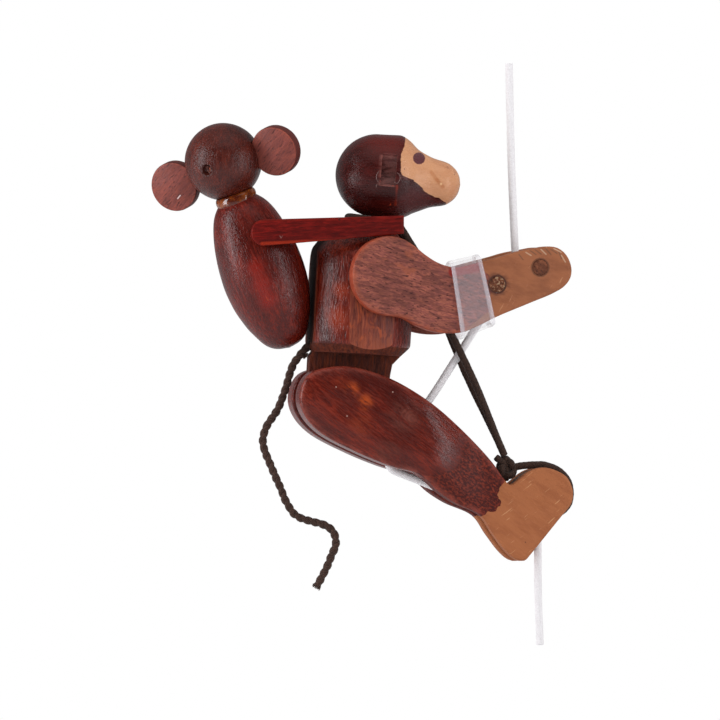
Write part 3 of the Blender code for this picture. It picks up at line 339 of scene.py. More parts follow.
class Nodes:
    """A short way to write a tree of nodes."""

    def __init__(self, tree):
        self.tree = tree

    def node(self, kind, settings=None, **inputs):
        made = self.tree.nodes.new(kind)
        for key, value in (settings or {}).items():
            setattr(made, key, value)
        for key, value in inputs.items():
            self.feed(made.inputs[key.replace("_", " ")], value)
        return made

    def feed(self, socket, value):
        if isinstance(value, bpy.types.NodeSocket):
            self.tree.links.new(value, socket)
        else:
            socket.default_value = value

    def feed_first(self, made, *values):
        """Feeds a node's first sockets in order, and gives its outputs."""
        for socket, value in zip(made.inputs, values):
            self.feed(socket, value)
        return made.outputs

    def math(self, operation, first, second=0.0, clamp=False):
        made = self.node("ShaderNodeMath", {"operation": operation, "use_clamp": clamp})
        return self.feed_first(made, first, second)[0]

    def times(self, first, second):
        return self.math("MULTIPLY", first, second)

    def vector(self, operation, first, second, result="Value"):
        made = self.node("ShaderNodeVectorMath", {"operation": operation})
        return self.feed_first(made, first, second)[result]

    def between(self, value, low, high, out_low=0.0, out_high=1.0):
        """Rises smoothly from one value to the other as the given value passes from low to high."""
        return self.node(
            "ShaderNodeMapRange", {"interpolation_type": "SMOOTHSTEP"},
            Value=value, From_Min=low, From_Max=high, To_Min=out_low, To_Max=out_high,
        ).outputs["Result"]

    def mix(self, share, first, second):
        """One colour over another; a colour may be three values of 0 to 255."""
        made = self.node("ShaderNodeMix", {"data_type": "RGBA"}, Factor=share)
        for socket, value in zip(made.inputs[6:8], (first, second)):
            self.feed(socket, linear(*value) if isinstance(value, tuple) else value)
        return made.outputs[2]

    def noise(self, vector, scale, detail=4.0, roughness=0.55, distortion=0.0):
        return self.node(
            "ShaderNodeTexNoise", Vector=vector, Scale=scale, Detail=detail, Roughness=roughness,
            Distortion=distortion,
        ).outputs["Fac"]

    def place(self):
        return self.node("ShaderNodeTexCoord").outputs["Object"]

    def mapped(self, vector, **settings):
        return self.node("ShaderNodeMapping", Vector=vector, **settings).outputs["Vector"]

    def millimetres(self):
        return self.mapped(self.place(), Scale=(PER_MM, PER_MM, PER_MM))

    def grain_space(self, axis, stretch):
        """Coordinates in which one millimetre along the grain counts as one over the stretch."""
        turn = Vector(axis).normalized().to_track_quat("Z", "Y").to_matrix().transposed().to_euler()
        return self.mapped(self.mapped(self.place(), Rotation=turn), Scale=(PER_MM, PER_MM, PER_MM / stretch))

    def attribute(self, name):
        return self.node("ShaderNodeAttribute", {"attribute_name": name}).outputs["Fac"]

    def bump(self, height, strength, distance):
        bumped = self.node("ShaderNodeBump", Strength=strength, Distance=distance, Height=height)
        return bumped.outputs["Normal"]


class Graph(Nodes):
    """A material's nodes."""

    def __init__(self, name):
        self.material = bpy.data.materials.new(name)
        self.material.use_nodes = True
        super().__init__(self.material.node_tree)

    def shade(self, **inputs):
        """Gives the surface its values, and returns the material."""
        shader = self.tree.nodes["Principled BSDF"]
        for key, value in inputs.items():
            self.feed(shader.inputs[key.replace("_", " ")], value)
        return self.material


def string_material():
    graph = Graph("white_braid")
    thread = graph.noise(graph.millimetres(), 2.6, 4.0, 0.6)
    soil = graph.noise(graph.place(), 60.0, 3.0, 0.6)
    colour = graph.mix(graph.between(thread, 0.3, 0.7), (236, 232, 233), (253, 252, 252))
    colour = graph.mix(graph.between(soil, 0.55, 0.8, 0.0, 0.3), colour, (212, 206, 204))
    return graph.shade(
        Base_Color=colour, Roughness=0.85, Sheen_Weight=0.2, Specular_IOR_Level=0.3,
        Normal=graph.bump(thread, 0.5, 0.2 * MM),
    )


def dark_cord_material(name, dark, light):
    graph = Graph(name)
    scaled = graph.millimetres()
    fuzz = graph.noise(scaled, 2.4, 5.0, 0.7)
    tone = graph.noise(scaled, 0.35, 3.0, 0.6)
    colour = graph.mix(graph.between(fuzz, 0.36, 0.68), dark, light)
    colour = graph.mix(graph.between(tone, 0.5, 0.75, 0.0, 0.5), colour, dark)
    return graph.shade(
        Base_Color=colour, Roughness=0.78, Sheen_Weight=0.12, Specular_IOR_Level=0.35,
        Normal=graph.bump(fuzz, 0.8, 0.3 * MM),
    )


def glue_material():
    graph = Graph("amber_glue")
    cloudy = graph.noise(graph.place(), 260.0, 3.0, 0.6)
    return graph.shade(
        Base_Color=graph.mix(graph.between(cloudy, 0.35, 0.7), (96, 30, 8), (168, 84, 26)),
        Roughness=0.16, Transmission_Weight=0.35, IOR=1.48, Coat_Weight=0.5, Coat_Roughness=0.1,
    )


def glue_trace_material():
    graph = Graph("clear_glue")
    return graph.shade(
        Base_Color=linear(128, 92, 88), Transmission_Weight=0.25, Coat_Weight=0.4,
        Roughness=graph.between(graph.noise(graph.place(), 900.0), 0.3, 0.7, 0.2, 0.4),
    )


def cuff_material(name, alpha):
    graph = Graph(name)
    haze = graph.noise(graph.place(), 180.0, 4.0, 0.6)
    return graph.shade(
        Base_Color=linear(236, 232, 238), Roughness=graph.between(haze, 0.3, 0.7, 0.10, 0.26),
        Alpha=alpha, Specular_IOR_Level=0.6, Normal=graph.bump(haze, 0.15, 0.3 * MM),
    )


# Mesh tools


def smooth(mesh, angle):
    mesh.shade_smooth()
    mesh.set_sharp_from_angle(angle=math.radians(angle))


def mesh_piece(name, form, material=None, angle=40.0):
    face_outward(form)
    mesh = bpy.data.meshes.new(name)
    form.to_mesh(mesh)
    form.free()
    smooth(mesh, angle)
    if material is not None:
        mesh.materials.append(material)
    piece = bpy.data.objects.new(name, mesh)
    bpy.context.scene.collection.objects.link(piece)
    return piece


def settle(piece, body, slot, *nodes):
    """Says which body a piece rides on, and the solids that it replaces; slot is not used."""
    if body is not None:
        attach(piece, body)
    if nodes:
        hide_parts(*nodes)


def edit(piece, change):
    form = bmesh.new()
    form.from_mesh(piece.data)
    change(form)
    form.to_mesh(piece.data)
    form.free()


def face_outward(form):
    bmesh.ops.recalc_face_normals(form, faces=form.faces)


def split_large_faces(form):
    """Leaves no face with many corners, which shades unevenly."""
    bmesh.ops.triangulate(form, faces=[face for face in form.faces if len(face.verts) > 4])


def subtract(piece, *forms, operation="DIFFERENCE"):
    """Cuts or joins a piece by each form."""
    for form in forms:
        tool = mesh_piece("tool", form)
        modifier = piece.modifiers.new("cut", "BOOLEAN")
        modifier.operation = operation
        modifier.solver = "EXACT"
        modifier.object = tool
        graph = bpy.context.evaluated_depsgraph_get()
        result = bpy.data.meshes.new_from_object(piece.evaluated_get(graph))
        old = piece.data
        piece.modifiers.clear()
        piece.data = result
        bpy.data.meshes.remove(old)
        bpy.data.objects.remove(tool, do_unlink=True)


def coordinates(mesh, field="co"):
    values = np.empty(len(mesh.vertices) * 3)
    mesh.vertices.foreach_get(field, values)
    return values.reshape(-1, 3)


def set_coordinates(mesh, values):
    mesh.vertices.foreach_set("co", values.reshape(-1))
    mesh.update()


def set_attribute(mesh, name, values):
    layer = mesh.attributes.get(name) or mesh.attributes.new(name, "FLOAT", "POINT")
    layer.data.foreach_set("value", np.asarray(values, dtype=np.float32))


def no_wear(piece):
    set_attribute(piece.data, "wear", np.zeros(len(piece.data.vertices)))


def through(matrix, places):
    """The places, moved by a matrix."""
    return (np.array(matrix) @ np.vstack((places.T, np.ones(len(places)))))[:3].T


def roughen(piece, amplitude, scale, seed):
    """Moves the surface in and out by a smooth noise, as hand finishing leaves it."""
    mesh = piece.data
    places = coordinates(mesh)
    normals = coordinates(mesh, "normal")
    shift = Vector((seed, seed * 1.7, seed * 0.3))
    for index, place in enumerate(places):
        places[index] += normals[index] * amplitude * noise.noise(Vector(place) / scale + shift)
    set_coordinates(mesh, places)


def frame_on(origin, axis, towards=ACROSS):
    z_axis = Vector(axis).normalized()
    x_axis = Vector(towards).cross(z_axis).normalized()
    y_axis = z_axis.cross(x_axis)
    return Matrix.Translation(origin) @ Matrix((x_axis, y_axis, z_axis)).transposed().to_4x4()


def bridge(form, lower, upper, closed=True):
    count = len(upper) if len(lower) == 1 else len(lower)
    for index in range(count if closed else count - 1):
        after = (index + 1) % count
        if len(lower) == 1:
            form.faces.new((lower[0], upper[after], upper[index]))
        elif len(upper) == 1:
            form.faces.new((lower[index], lower[after], upper[0]))
        else:
            form.faces.new((lower[index], lower[after], upper[after], upper[index]))


def turned(profile, segments, matrix, droop=None):
    """A solid turned from (height, radius) pairs; droop(height) shifts it sideways."""
    form = bmesh.new()
    rings = []
    for height, radius in profile:
        shift = 0.0 if droop is None else droop(height)
        if radius <= 1e-6:
            points = [(shift, 0.0, height)]
        else:
            angles = [math.tau * index / segments for index in range(segments)]
            points = [(shift + radius * math.cos(a), radius * math.sin(a), height) for a in angles]
        rings.append([form.verts.new(point) for point in points])
    for lower, upper in zip(rings, rings[1:]):
        bridge(form, lower, upper)
    for ring in (rings[0], rings[-1]):
        if len(ring) > 1:
            form.faces.new(ring)
    bmesh.ops.transform(form, matrix=matrix, verts=form.verts)
    return form


def smooth_points(points, closed, step):
    """Points along a centripetal Catmull-Rom curve through the given points."""
    points = [Vector(point) for point in points]
    count = len(points)
    result = []
    for index in range(count if closed else count - 1):
        p1 = points[index]
        p2 = points[(index + 1) % count]
        p0 = points[index - 1] if closed or index > 0 else p1 * 2.0 - p2
        p3 = points[(index + 2) % count] if closed or index + 2 < count else p2 * 2.0 - p1
        t1 = (p1 - p0).length ** 0.5
        t2 = t1 + (p2 - p1).length ** 0.5
        t3 = t2 + (p3 - p2).length ** 0.5
        pieces = max(1, round((p2 - p1).length / step))
        for part in range(pieces):
            t = t1 + (t2 - t1) * part / pieces
            a1 = p0 * ((t1 - t) / t1) + p1 * (t / t1)
            a2 = p1 * ((t2 - t) / (t2 - t1)) + p2 * ((t - t1) / (t2 - t1))
            a3 = p2 * ((t3 - t) / (t3 - t2)) + p3 * ((t - t2) / (t3 - t2))
            b1 = a1 * ((t2 - t) / t2) + a2 * (t / t2)
            b2 = a2 * ((t3 - t) / (t3 - t1)) + a3 * ((t - t1) / (t3 - t1))
            result.append(b1 * ((t2 - t) / (t2 - t1)) + b2 * ((t - t1) / (t2 - t1)))
    if not closed:
        result.append(points[-1])
    return result


def profile_curve(profile, step):
    """A turned profile in metres, from millimetre pairs, as a smooth curve."""
    points = smooth_points([Vector(pair) * MM for pair in profile], False, step)
    return [(point.x, max(0.0, point.y)) for point in points]


def arc(centre, radius, start, end, steps):
    result = []
    for index in range(steps + 1):
        angle = math.radians(start + (end - start) * index / steps)
        result.append(Vector((centre[0] + radius * math.cos(angle), centre[1] + radius * math.sin(angle))))
    return result


def flat(points):
    return [Vector(point) * MM for point in points]


def in_plane(points):
    return [Vector((x, 0.0, z)) * MM for x, z in points]


def rod(start, end, radius, segments=48, chamfer=0.0):
    length = (end - start).length
    edge = [(0.0, radius)]
    if chamfer > 0.0:
        edge = [(0.0, radius - chamfer), (chamfer * 0.3, radius - chamfer * 0.3), (chamfer, radius)]
    rings = edge + [(length - height, reach) for height, reach in reversed(edge)]
    side = ACROSS if abs((end - start).normalized().y) < 0.9 else UP
    return turned(rings, segments, frame_on(start, end - start, side))


def counter_clockwise(outline):
    ends = outline[1:] + outline[:1]
    area = sum(here.x * after.y - after.x * here.y for here, after in zip(outline, ends))
    return outline[::-1] if area < 0.0 else outline


def inset(outline, distance):
    result = []
    count = len(outline)
    for index, point in enumerate(outline):
        ahead = (outline[(index + 1) % count] - point).normalized()
        behind = (point - outline[index - 1]).normalized()
        tangent = (ahead + behind).normalized()
        result.append(point + Vector((-tangent.y, tangent.x)) * distance)
    return result


def edge_distances(places, outline):
    """How far each place lies from the outline; negative outside it."""
    corners = np.array([tuple(p) for p in outline])
    after = np.roll(corners, -1, axis=0)
    spans = after - corners
    squares = (spans ** 2).sum(axis=1)
    nearest = np.full(len(places), 1e9)
    crossings = np.zeros(len(places), dtype=bool)
    for here, there, span, square in zip(corners, after, spans, squares):
        offset = places - here
        share = np.clip((offset @ span) / max(square, 1e-18), 0.0, 1.0)
        nearest = np.minimum(nearest, np.hypot(*(offset - share[:, None] * span).T))
        spans_row = (here[1] > places[:, 1]) != (there[1] > places[:, 1])
        with np.errstate(divide="ignore", invalid="ignore"):
            crossing = here[0] + (places[:, 1] - here[1]) / (there[1] - here[1]) * (there[0] - here[0])
        crossings ^= spans_row & (places[:, 0] < crossing)
    return np.where(crossings, nearest, -nearest)


def level_face(height):
    """A board's face that is flat."""
    return lambda places, distances: np.full(len(places), height)


def dense_board(outline, back, front, ease, spacing=BOARD_SPACING, round_steps=3):
    """A board with evenly spread points on both faces and rounded arrises.

    front(places, distances) gives the height of the outer face.
    """
    outline = counter_clockwise(outline)
    form = bmesh.new()
    corners = np.array([tuple(p) for p in outline])
    edge_height = front(corners, np.zeros(len(corners)))
    rounding = []
    for step in range(round_steps + 1):
        angle = math.pi / 2.0 * step / round_steps
        reach = ease * (1.0 - math.sin(angle))
        rounding.append((inset(outline, reach), reach, ease * (1.0 - math.cos(angle))))
    rings = [[form.verts.new((p.x, p.y, back + rise)) for p in points] for points, _, rise in rounding]
    low = back + ease
    for wall in range(1, WALL_STEPS):
        heights = low + (edge_height - ease - low) * wall / WALL_STEPS
        rings.append([form.verts.new((p.x, p.y, h)) for p, h in zip(outline, heights)])
    for points, reach, rise in reversed(rounding):
        heights = front(np.array([tuple(p) for p in points]), np.full(len(points), reach)) - rise
        rings.append([form.verts.new((p.x, p.y, h)) for p, h in zip(points, heights)])
    for lower, upper in zip(rings, rings[1:]):
        bridge(form, lower, upper)
    inner = rounding[0][0]
    (left, bottom), (right, top) = corners.min(axis=0), corners.max(axis=0)
    columns = np.arange(left, right, spacing)
    rows = np.arange(bottom, top, spacing * 0.87)
    grid = np.array([(x + 0.5 * spacing * (r % 2), y) for r, y in enumerate(rows) for x in columns])
    grid = grid[edge_distances(grid, inner) > 0.45 * spacing]
    points = list(inner) + [Vector(tuple(p)) for p in grid]
    found, _, faces, _, _, _ = delaunay_2d_cdt(points, [], [list(range(len(inner)))], 1, 1e-8)
    extra = np.array([tuple(p) for p in found[len(inner):]])
    heights = front(extra, np.maximum(edge_distances(extra, outline), 0.0))
    for ring, levels in ((rings[0], np.full(len(extra), back)), (rings[-1], heights)):
        vertices = ring + [form.verts.new((p[0], p[1], h)) for p, h in zip(extra, levels)]
        for face in faces:
            form.faces.new([vertices[index] for index in face])
    return form


def polyline_side(places, line):
    """Distance from a boundary line, positive on its left as it is walked."""
    points = np.array(line, dtype=float)
    best = np.full(len(places), 1e9)
    signs = np.ones(len(places))
    for here, there in zip(points, points[1:]):
        span = there - here
        offset = places - here
        share = np.clip((offset @ span) / (span @ span), 0.0, 1.0)
        gap = offset - share[:, None] * span
        length = np.hypot(gap[:, 0], gap[:, 1])
        cross = span[0] * offset[:, 1] - span[1] * offset[:, 0]
        closer = length < best - 1e-9
        best = np.where(closer, length, best)
        signs = np.where(closer, np.sign(cross), signs)
    return best * signs


def wear_near_edges(piece):
    """Marks the ends of each sharp edge, where the stain is rubbed thin."""
    form = bmesh.new()
    form.from_mesh(piece.data)
    marked = np.zeros(len(form.verts))
    for edge in form.edges:
        if len(edge.link_faces) == 2 and edge.calc_face_angle(0.0) > SHARP_ANGLE:
            for vertex in edge.verts:
                marked[vertex.index] = 1.0
    form.free()
    set_attribute(piece.data, "wear", marked)


def board_piece(
    name, material, outline, back, front, ease, matrix, worn, outer, waves, lines=None, round_steps=3,
):
    """A sawn board in its own plane, marked and made uneven, then put in place by the matrix.

    worn is the depth to which its arris is rubbed, outer(heights) tells its outer face from its back,
    waves are the noise's frequency, seed and height, and lines are paint edges by attribute name.
    """
    form = dense_board(outline, back, front, ease, round_steps=round_steps)
    piece = mesh_piece(name, form, material)
    mesh = piece.data
    places = coordinates(mesh)
    flat_places = places[:, :2].copy()
    for attribute, line in (lines or {}).items():
        set_attribute(mesh, attribute, polyline_side(flat_places, line) * PER_MM)
    distance = np.maximum(edge_distances(flat_places, counter_clockwise(outline)), 0.0)
    rubbed = np.clip(1.0 - np.abs(distance - ease * 0.4) / (1.6 * ease), 0.0, 1.0)
    set_attribute(mesh, "wear", rubbed * (places[:, 2] > front(flat_places, distance) - worn))
    set_attribute(mesh, "wall", (distance < 0.05 * MM).astype(float))
    frequency, seed, height = waves
    swell = np.array([noise.noise(Vector((x * frequency, y * frequency, seed))) for x, y in flat_places])
    places[:, 2] += outer(places[:, 2]) * swell * height
    set_coordinates(mesh, through(matrix, places))
    edit(piece, face_outward)
    return piece


# Tubes and braids


def transport_frames(points):
    """Two directions square to the line at each point, carried along it without twist."""
    tangents = []
    for index in range(len(points)):
        before = points[max(0, index - 1)]
        after = points[min(len(points) - 1, index + 1)]
        tangents.append((after - before).normalized())
    side = tangents[0].cross(ACROSS)
    if side.length < 0.1:
        side = tangents[0].cross(UP)
    side.normalize()
    frames = []
    for index, tangent in enumerate(tangents):
        if index:
            side = (side - tangent * side.dot(tangent)).normalized()
        frames.append((side.copy(), tangent.cross(side)))
    return frames


def even_points(route, step):
    """The smooth curve through a route, at even spacing."""
    fine = smooth_points(route, False, step * 0.5)
    lengths = [0.0]
    for here, after in zip(fine, fine[1:]):
        lengths.append(lengths[-1] + (after - here).length)
    count = max(2, round(lengths[-1] / step))
    result = []
    cursor = 0
    for index in range(count + 1):
        target = lengths[-1] * index / count
        while cursor < len(lengths) - 2 and lengths[cursor + 1] < target:
            cursor += 1
        span = lengths[cursor + 1] - lengths[cursor]
        share = (target - lengths[cursor]) / span if span > 0.0 else 0.0
        result.append(fine[cursor].lerp(fine[cursor + 1], share))
    return result


def tube_into(form, points, radius, sides, shape=None):
    """Adds a tube; shape(angle, distance) scales the radius. Ends are closed and rounded."""
    frames = transport_frames(points)
    rings = []
    travelled = 0.0
    count = len(points)
    for index, (point, (side, rise)) in enumerate(zip(points, frames)):
        if index:
            travelled += (point - points[index - 1]).length
        ring = []
        for step in range(sides):
            angle = math.tau * step / sides
            scale = 1.0 if shape is None else shape(angle, travelled)
            reach = radius * scale
            if index in (0, count - 1):
                reach *= 0.82
            ring.append(form.verts.new(point + (side * math.cos(angle) + rise * math.sin(angle)) * reach))
        rings.append(ring)
    for lower, upper in zip(rings, rings[1:]):
        bridge(form, lower, upper)
    form.faces.new(rings[0][::-1])
    form.faces.new(rings[-1])


def braid(pitch, threads, depth, lump=0.0, lump_length=MM, seed=0.0, lump_turns=1.0):
    """The height of a tubular braid: threads that cross over and under, on a core with soft lumps."""

    def shape(angle, travelled):
        run = math.tau * travelled / pitch
        weave = 0.5 * (math.cos(threads * angle + run) * math.cos(threads * angle - run)) + 0.5
        spot = Vector((travelled / lump_length, seed, math.cos(angle) * lump_turns))
        return 1.0 - depth + depth * weave + lump * noise.noise(spot)

    return shape


def lay_cord(name, route, radius, sides, shape, material, slot, node, *bodies):
    """A cord that rides on one body, or runs from one body to the next and rides on neither."""
    points = even_points(route, CORD_STEP)
    form = bmesh.new()
    tube_into(form, points, radius, sides, shape)
    piece = mesh_piece(name, form, material, CORD_SMOOTHING)
    settle(piece, bodies[0] if len(bodies) == 1 else None, slot, node)
    if len(bodies) == 2:
        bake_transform(piece)
    return piece, points


# Photograph and places


def view_directions():
    level = Vector((math.sin(VIEW_TURN), math.cos(VIEW_TURN), 0.0)) * math.cos(VIEW_RISE)
    ahead = level - UP * math.sin(VIEW_RISE)
    right = ahead.cross(UP).normalized()
    return ahead, right, right.cross(ahead)


VIEW_AHEAD, VIEW_RIGHT, VIEW_UP = view_directions()
PHOTO_MIDDLE = PHOTO_SIZE / 2.0
VIEW_TARGET = (
    VIEW_RIGHT * (PHOTO_MIDDLE - STRING_TOP_PIXEL[0]) * PHOTO_SCALE
    - UP * (PHOTO_MIDDLE - STRING_TOP_PIXEL[1]) * PHOTO_SCALE
)
CAMERA_PLACE = VIEW_TARGET - VIEW_AHEAD * VIEW_DISTANCE


def pixel_ray(pixel):
    across = VIEW_RIGHT * (pixel[0] - PHOTO_MIDDLE) * PHOTO_SCALE
    up = VIEW_UP * (PHOTO_MIDDLE - pixel[1]) * PHOTO_SCALE
    return (VIEW_AHEAD * VIEW_DISTANCE + across + up).normalized()


def pixel_on_plane(pixel, origin, normal):
    """The place in a plane that a pixel shows."""
    ray = pixel_ray(pixel)
    return CAMERA_PLACE + ray * ((origin - CAMERA_PLACE).dot(normal) / ray.dot(normal))


def pixel_at(pixel, depth):
    """The place that a pixel shows in the plane at that Y, in millimetres."""
    return pixel_on_plane(pixel, Vector((0.0, depth, 0.0)) * MM, ACROSS)


def pixel_on_piece(tree, pixel):
    """The place on a piece's surface that a pixel shows, or the nearest one beside it."""
    ray = pixel_ray(pixel)
    return tree.ray_cast(CAMERA_PLACE, ray)[0] or tree.find_nearest(CAMERA_PLACE + ray * VIEW_DISTANCE)[0]


def pixels_at_depth(pixels, depth):
    """Pixels as (x, z) places in the plane at that Y."""
    found = [pixel_on_plane(pixel, ACROSS * depth, ACROSS) for pixel in pixels]
    return [(place.x, place.z) for place in found]


def tree_of(piece):
    mesh = piece.data
    return BVHTree.FromPolygons([v.co for v in mesh.vertices], [p.vertices for p in mesh.polygons])


def make_camera():
    data = bpy.data.cameras.new("camera")
    data.sensor_width = SENSOR
    data.lens = SENSOR * VIEW_DISTANCE / (PHOTO_SIZE * PHOTO_SCALE)
    data.clip_start = 0.05
    data.clip_end = 30.0
    camera = bpy.data.objects.new("camera", data)
    bpy.context.scene.collection.objects.link(camera)
    camera.location = CAMERA_PLACE
    camera.rotation_mode = "QUATERNION"
    camera.rotation_quaternion = VIEW_AHEAD.to_track_quat("-Z", "Y")
    bpy.context.scene.camera = camera


# The string, the elastic cord and the tail


def knee_tangent(radius, outside):
    """The angle on the knee pin's wrap at which the string from outside meets it, and that place."""
    offset = Vector((outside.x - KNEE_PIN.x, outside.z - KNEE_PIN.z))
    angle = math.atan2(offset.y, offset.x) + math.acos(radius / offset.length)
    return angle, Vector((KNEE_PIN.x + radius * math.cos(angle), 0.0, KNEE_PIN.z + radius * math.sin(angle)))


def circle_points(centre, radius, start, end, steps):
    angles = [start + (end - start) * index / steps for index in range(steps + 1)]
    return [centre + Vector((radius * math.cos(a), 0.0, radius * math.sin(a))) for a in angles]


def make_string(cotton):
    threads = braid(4.6 * MM, 8, 0.075)

    def run(name, route, node, *bodies):
        radius = STRING_RADIUS * 0.99
        return lay_cord(name, route, radius, 32, threads, cotton, "white_string", node, *bodies)

    upper_route = [Vector((0.0, 0.0, 0.0)), Vector((0.9, 0.0, -38.0)) * MM, HANDS_TOP]
    upper, points = run("string_up", upper_route, "string_upper", "held_string", "figure")
    grip = in_plane(((2.6, -79.0), (2.5, -82.5), (1.0, -86.0), (-2.0, -89.4), (-4.6, -93.0), (-8.0, -97.6)))
    run("string_between_pegs", [HANDS_TOP] + grip + [HANDS_BOTTOM], "string_grip", "figure")
    middle = in_plane(((-15.0, -108.2), (-23.0, -120.6), (-32.9, -135.6)))
    knee_wrap = PEG_RADIUS + STRING_RADIUS + GAP
    heel_wrap = HEEL_DOWEL_RADIUS + STRING_RADIUS + GAP
    knee_start, knee_touch = knee_tangent(knee_wrap, middle[-1])
    run("string_to_knees", [HANDS_BOTTOM] + middle + [knee_touch], "string_middle_run", "figure", "legs")
    span = HEEL_DOWEL - KNEE_PIN
    run_angle = math.atan2(span.z, span.x) + math.asin((heel_wrap + knee_wrap) / span.length)
    knee = circle_points(KNEE_PIN, knee_wrap, knee_start, run_angle + 1.5 * math.pi, 7)
    heel = circle_points(HEEL_DOWEL, heel_wrap, run_angle + math.pi / 2.0, 0.0, 6)
    between = [knee[-1].lerp(heel[0], share / 6.0) for share in range(1, 6)]
    run("string_to_heels", knee + between + heel, "string_foot_run", "legs")
    middle_point = heel[-1].lerp(STRING_BOTTOM, 0.5) - Vector((0.3, 0.0, 0.0)) * MM
    lower, points = run(
        "string_end_piece", [heel[-1], middle_point, STRING_BOTTOM], "string_lower", "string_end",
    )


def on_torso(height, radius=0.0, angle=0.0):
    forward = Vector((math.cos(TORSO_LEAN), 0.0, -math.sin(TORSO_LEAN)))
    turn = math.radians(angle)
    return TORSO_RIM + TORSO_AXIS * height + (forward * math.cos(turn) + ACROSS * math.sin(turn)) * radius


def torso_direction(angle):
    return on_torso(0.0, 1.0, angle) - TORSO_RIM


def torso_radius(height):
    heights, radii = zip(*TORSO_PROFILE)
    return float(np.interp(height, heights, radii))


def fade(value, start, end):
    share = max(0.0, min(1.0, (value - start) / (end - start)))
    return share * share * (3.0 - 2.0 * share)


def neck_ring_point(angle):
    """The elastic's turn round the neck, which lies on the torso's top in front."""
    height = TORSO_TOP + ELASTIC_RADIUS + GAP + NECK_RING_RISE * (1.0 - math.cos(math.radians(angle))) / 2.0
    along = (HEAD_CENTRE - TORSO_RIM).dot(TORSO_AXIS)
    centre = HEAD_CENTRE + TORSO_AXIS * (height - along)
    return centre + torso_direction(180.0) * NECK_RING_BACK + torso_direction(angle) * NECK_RING_RADIUS


def make_elastic(rubber):
    def run(name, route, seed, node, *bodies):
        cover = braid(ELASTIC_PITCH, 6.0, 0.07, 0.05, 2.6 * MM, seed)
        lay_cord(name, route, ELASTIC_RADIUS, 28, cover, rubber, "brown_elastic", node, *bodies)

    ring_side = math.degrees(math.asin(ELASTIC_SPREAD / NECK_RING_RADIUS))
    ring = [neck_ring_point(ring_side + (360.0 - 2.0 * ring_side) * index / 14.0) for index in range(15)]
    over_rim = 0.8 * (ELASTIC_RADIUS + GAP)
    chest = [on_torso(TORSO_TOP + over_rim, 12.5 * MM + over_rim)]
    chest += [on_torso(h * MM, torso_radius(h) * MM + ELASTIC_RADIUS + 0.78 * MM) for h in (41.8, 37.6)]
    far_side = [place + ACROSS * ELASTIC_SPREAD for place in [CHEST_LEAVE] + chest[::-1]]
    near_side = [place - ACROSS * ELASTIC_SPREAD for place in chest + [CHEST_LEAVE]]
    run("elastic_round_neck", far_side + ring + near_side, 1.3, "elastic_neck_loop", "figure")
    knot_top = KNOT + Vector((-0.6, 0.0, 5.3)) * MM
    for label, side, seed in (("near", -1.0, 2.1), ("far", 1.0, 5.7)):
        route = [CHEST_LEAVE + ACROSS * side * ELASTIC_SPREAD]
        for step in range(1, 13):
            share = step / 12.0
            gap_across = ELASTIC_SPREAD + (1.9 * MM - ELASTIC_SPREAD) * fade(share, 0.55, 1.0)
            sag = 0.35 * MM * math.sin(share * 9.0 + seed)
            place = CHEST_LEAVE.lerp(knot_top, share) + Vector((sag, 0.0, 0.0))
            route.append(place + ACROSS * side * gap_across)
        run(f"elastic_{label}_run", route, seed, f"elastic_{label}_strand", "figure", "legs")
    run("elastic_round_foot", in_plane(FOOT_LOOP), 8.2, "elastic_foot_loop", "legs")
    make_knot(rubber)


def make_knot(rubber):
    """An overhand knot: turns of the doubled cord wound over one another, and a cut stub."""
    form = bmesh.new()

    def add(places, radius, seed, step=0.5):
        cover = braid(ELASTIC_PITCH, 6.0, 0.08, 0.06, 1.8 * MM, seed, 2.0)
        tube_into(form, even_points([KNOT + Vector(p) * MM for p in places], step * MM), radius, 20, cover)

    turns = []
    for index in range(KNOT_STEPS + 1):
        angle = math.tau * 2.0 * index / KNOT_STEPS
        reach = 2.55 * MM + 0.35 * MM * math.cos(1.5 * angle)
        turns.append(KNOT + Vector((
            reach * math.cos(angle) * 0.95 + 0.2 * MM, 2.5 * MM * math.sin(1.5 * angle),
            reach * math.sin(angle) * 1.15,
        )))
    cover = braid(ELASTIC_PITCH, 6.0, 0.08, 0.06, 1.8 * MM, 3.1, 2.0)
    tube_into(form, turns, ELASTIC_RADIUS * 0.98, 20, cover)
    add(((-0.6, 0.0, 4.6), (0.0, 0.0, 0.0), (-1.2, 0.0, -4.4)), 2.3 * MM, 6.0)
    for side in (-1.9, 1.9):
        add(((0.0, 0.0, 0.0), (-0.6, side, 4.98)), ELASTIC_RADIUS, side)
    add(((0.4, -1.6, 1.6), (-2.6, -2.0, 3.2), (-4.6, -1.6, 4.9)), ELASTIC_RADIUS * 0.95, 9.0, 0.4)
    settle(mesh_piece("elastic_tie", form, rubber, CORD_SMOOTHING), "legs", "brown_elastic", "elastic_knot")


def tail_root(depth):
    mouth = (on_torso(0.0, 21.5 * MM, 180.0) + on_torso(-3.8 * MM, 17.8 * MM, 180.0)) / 2.0
    return mouth + Vector((1.0, 0.0, 1.0)).normalized() * depth


def yarn(phase):
    """The height of a strand's own twist."""

    def shape(angle, travelled):
        ridge = math.cos(5.0 * angle + math.tau * travelled / (2.2 * MM))
        lump = noise.noise(Vector((travelled / (2.4 * MM), phase, math.cos(angle))))
        return 1.0 + 0.07 * ridge + 0.10 * lump

    return shape


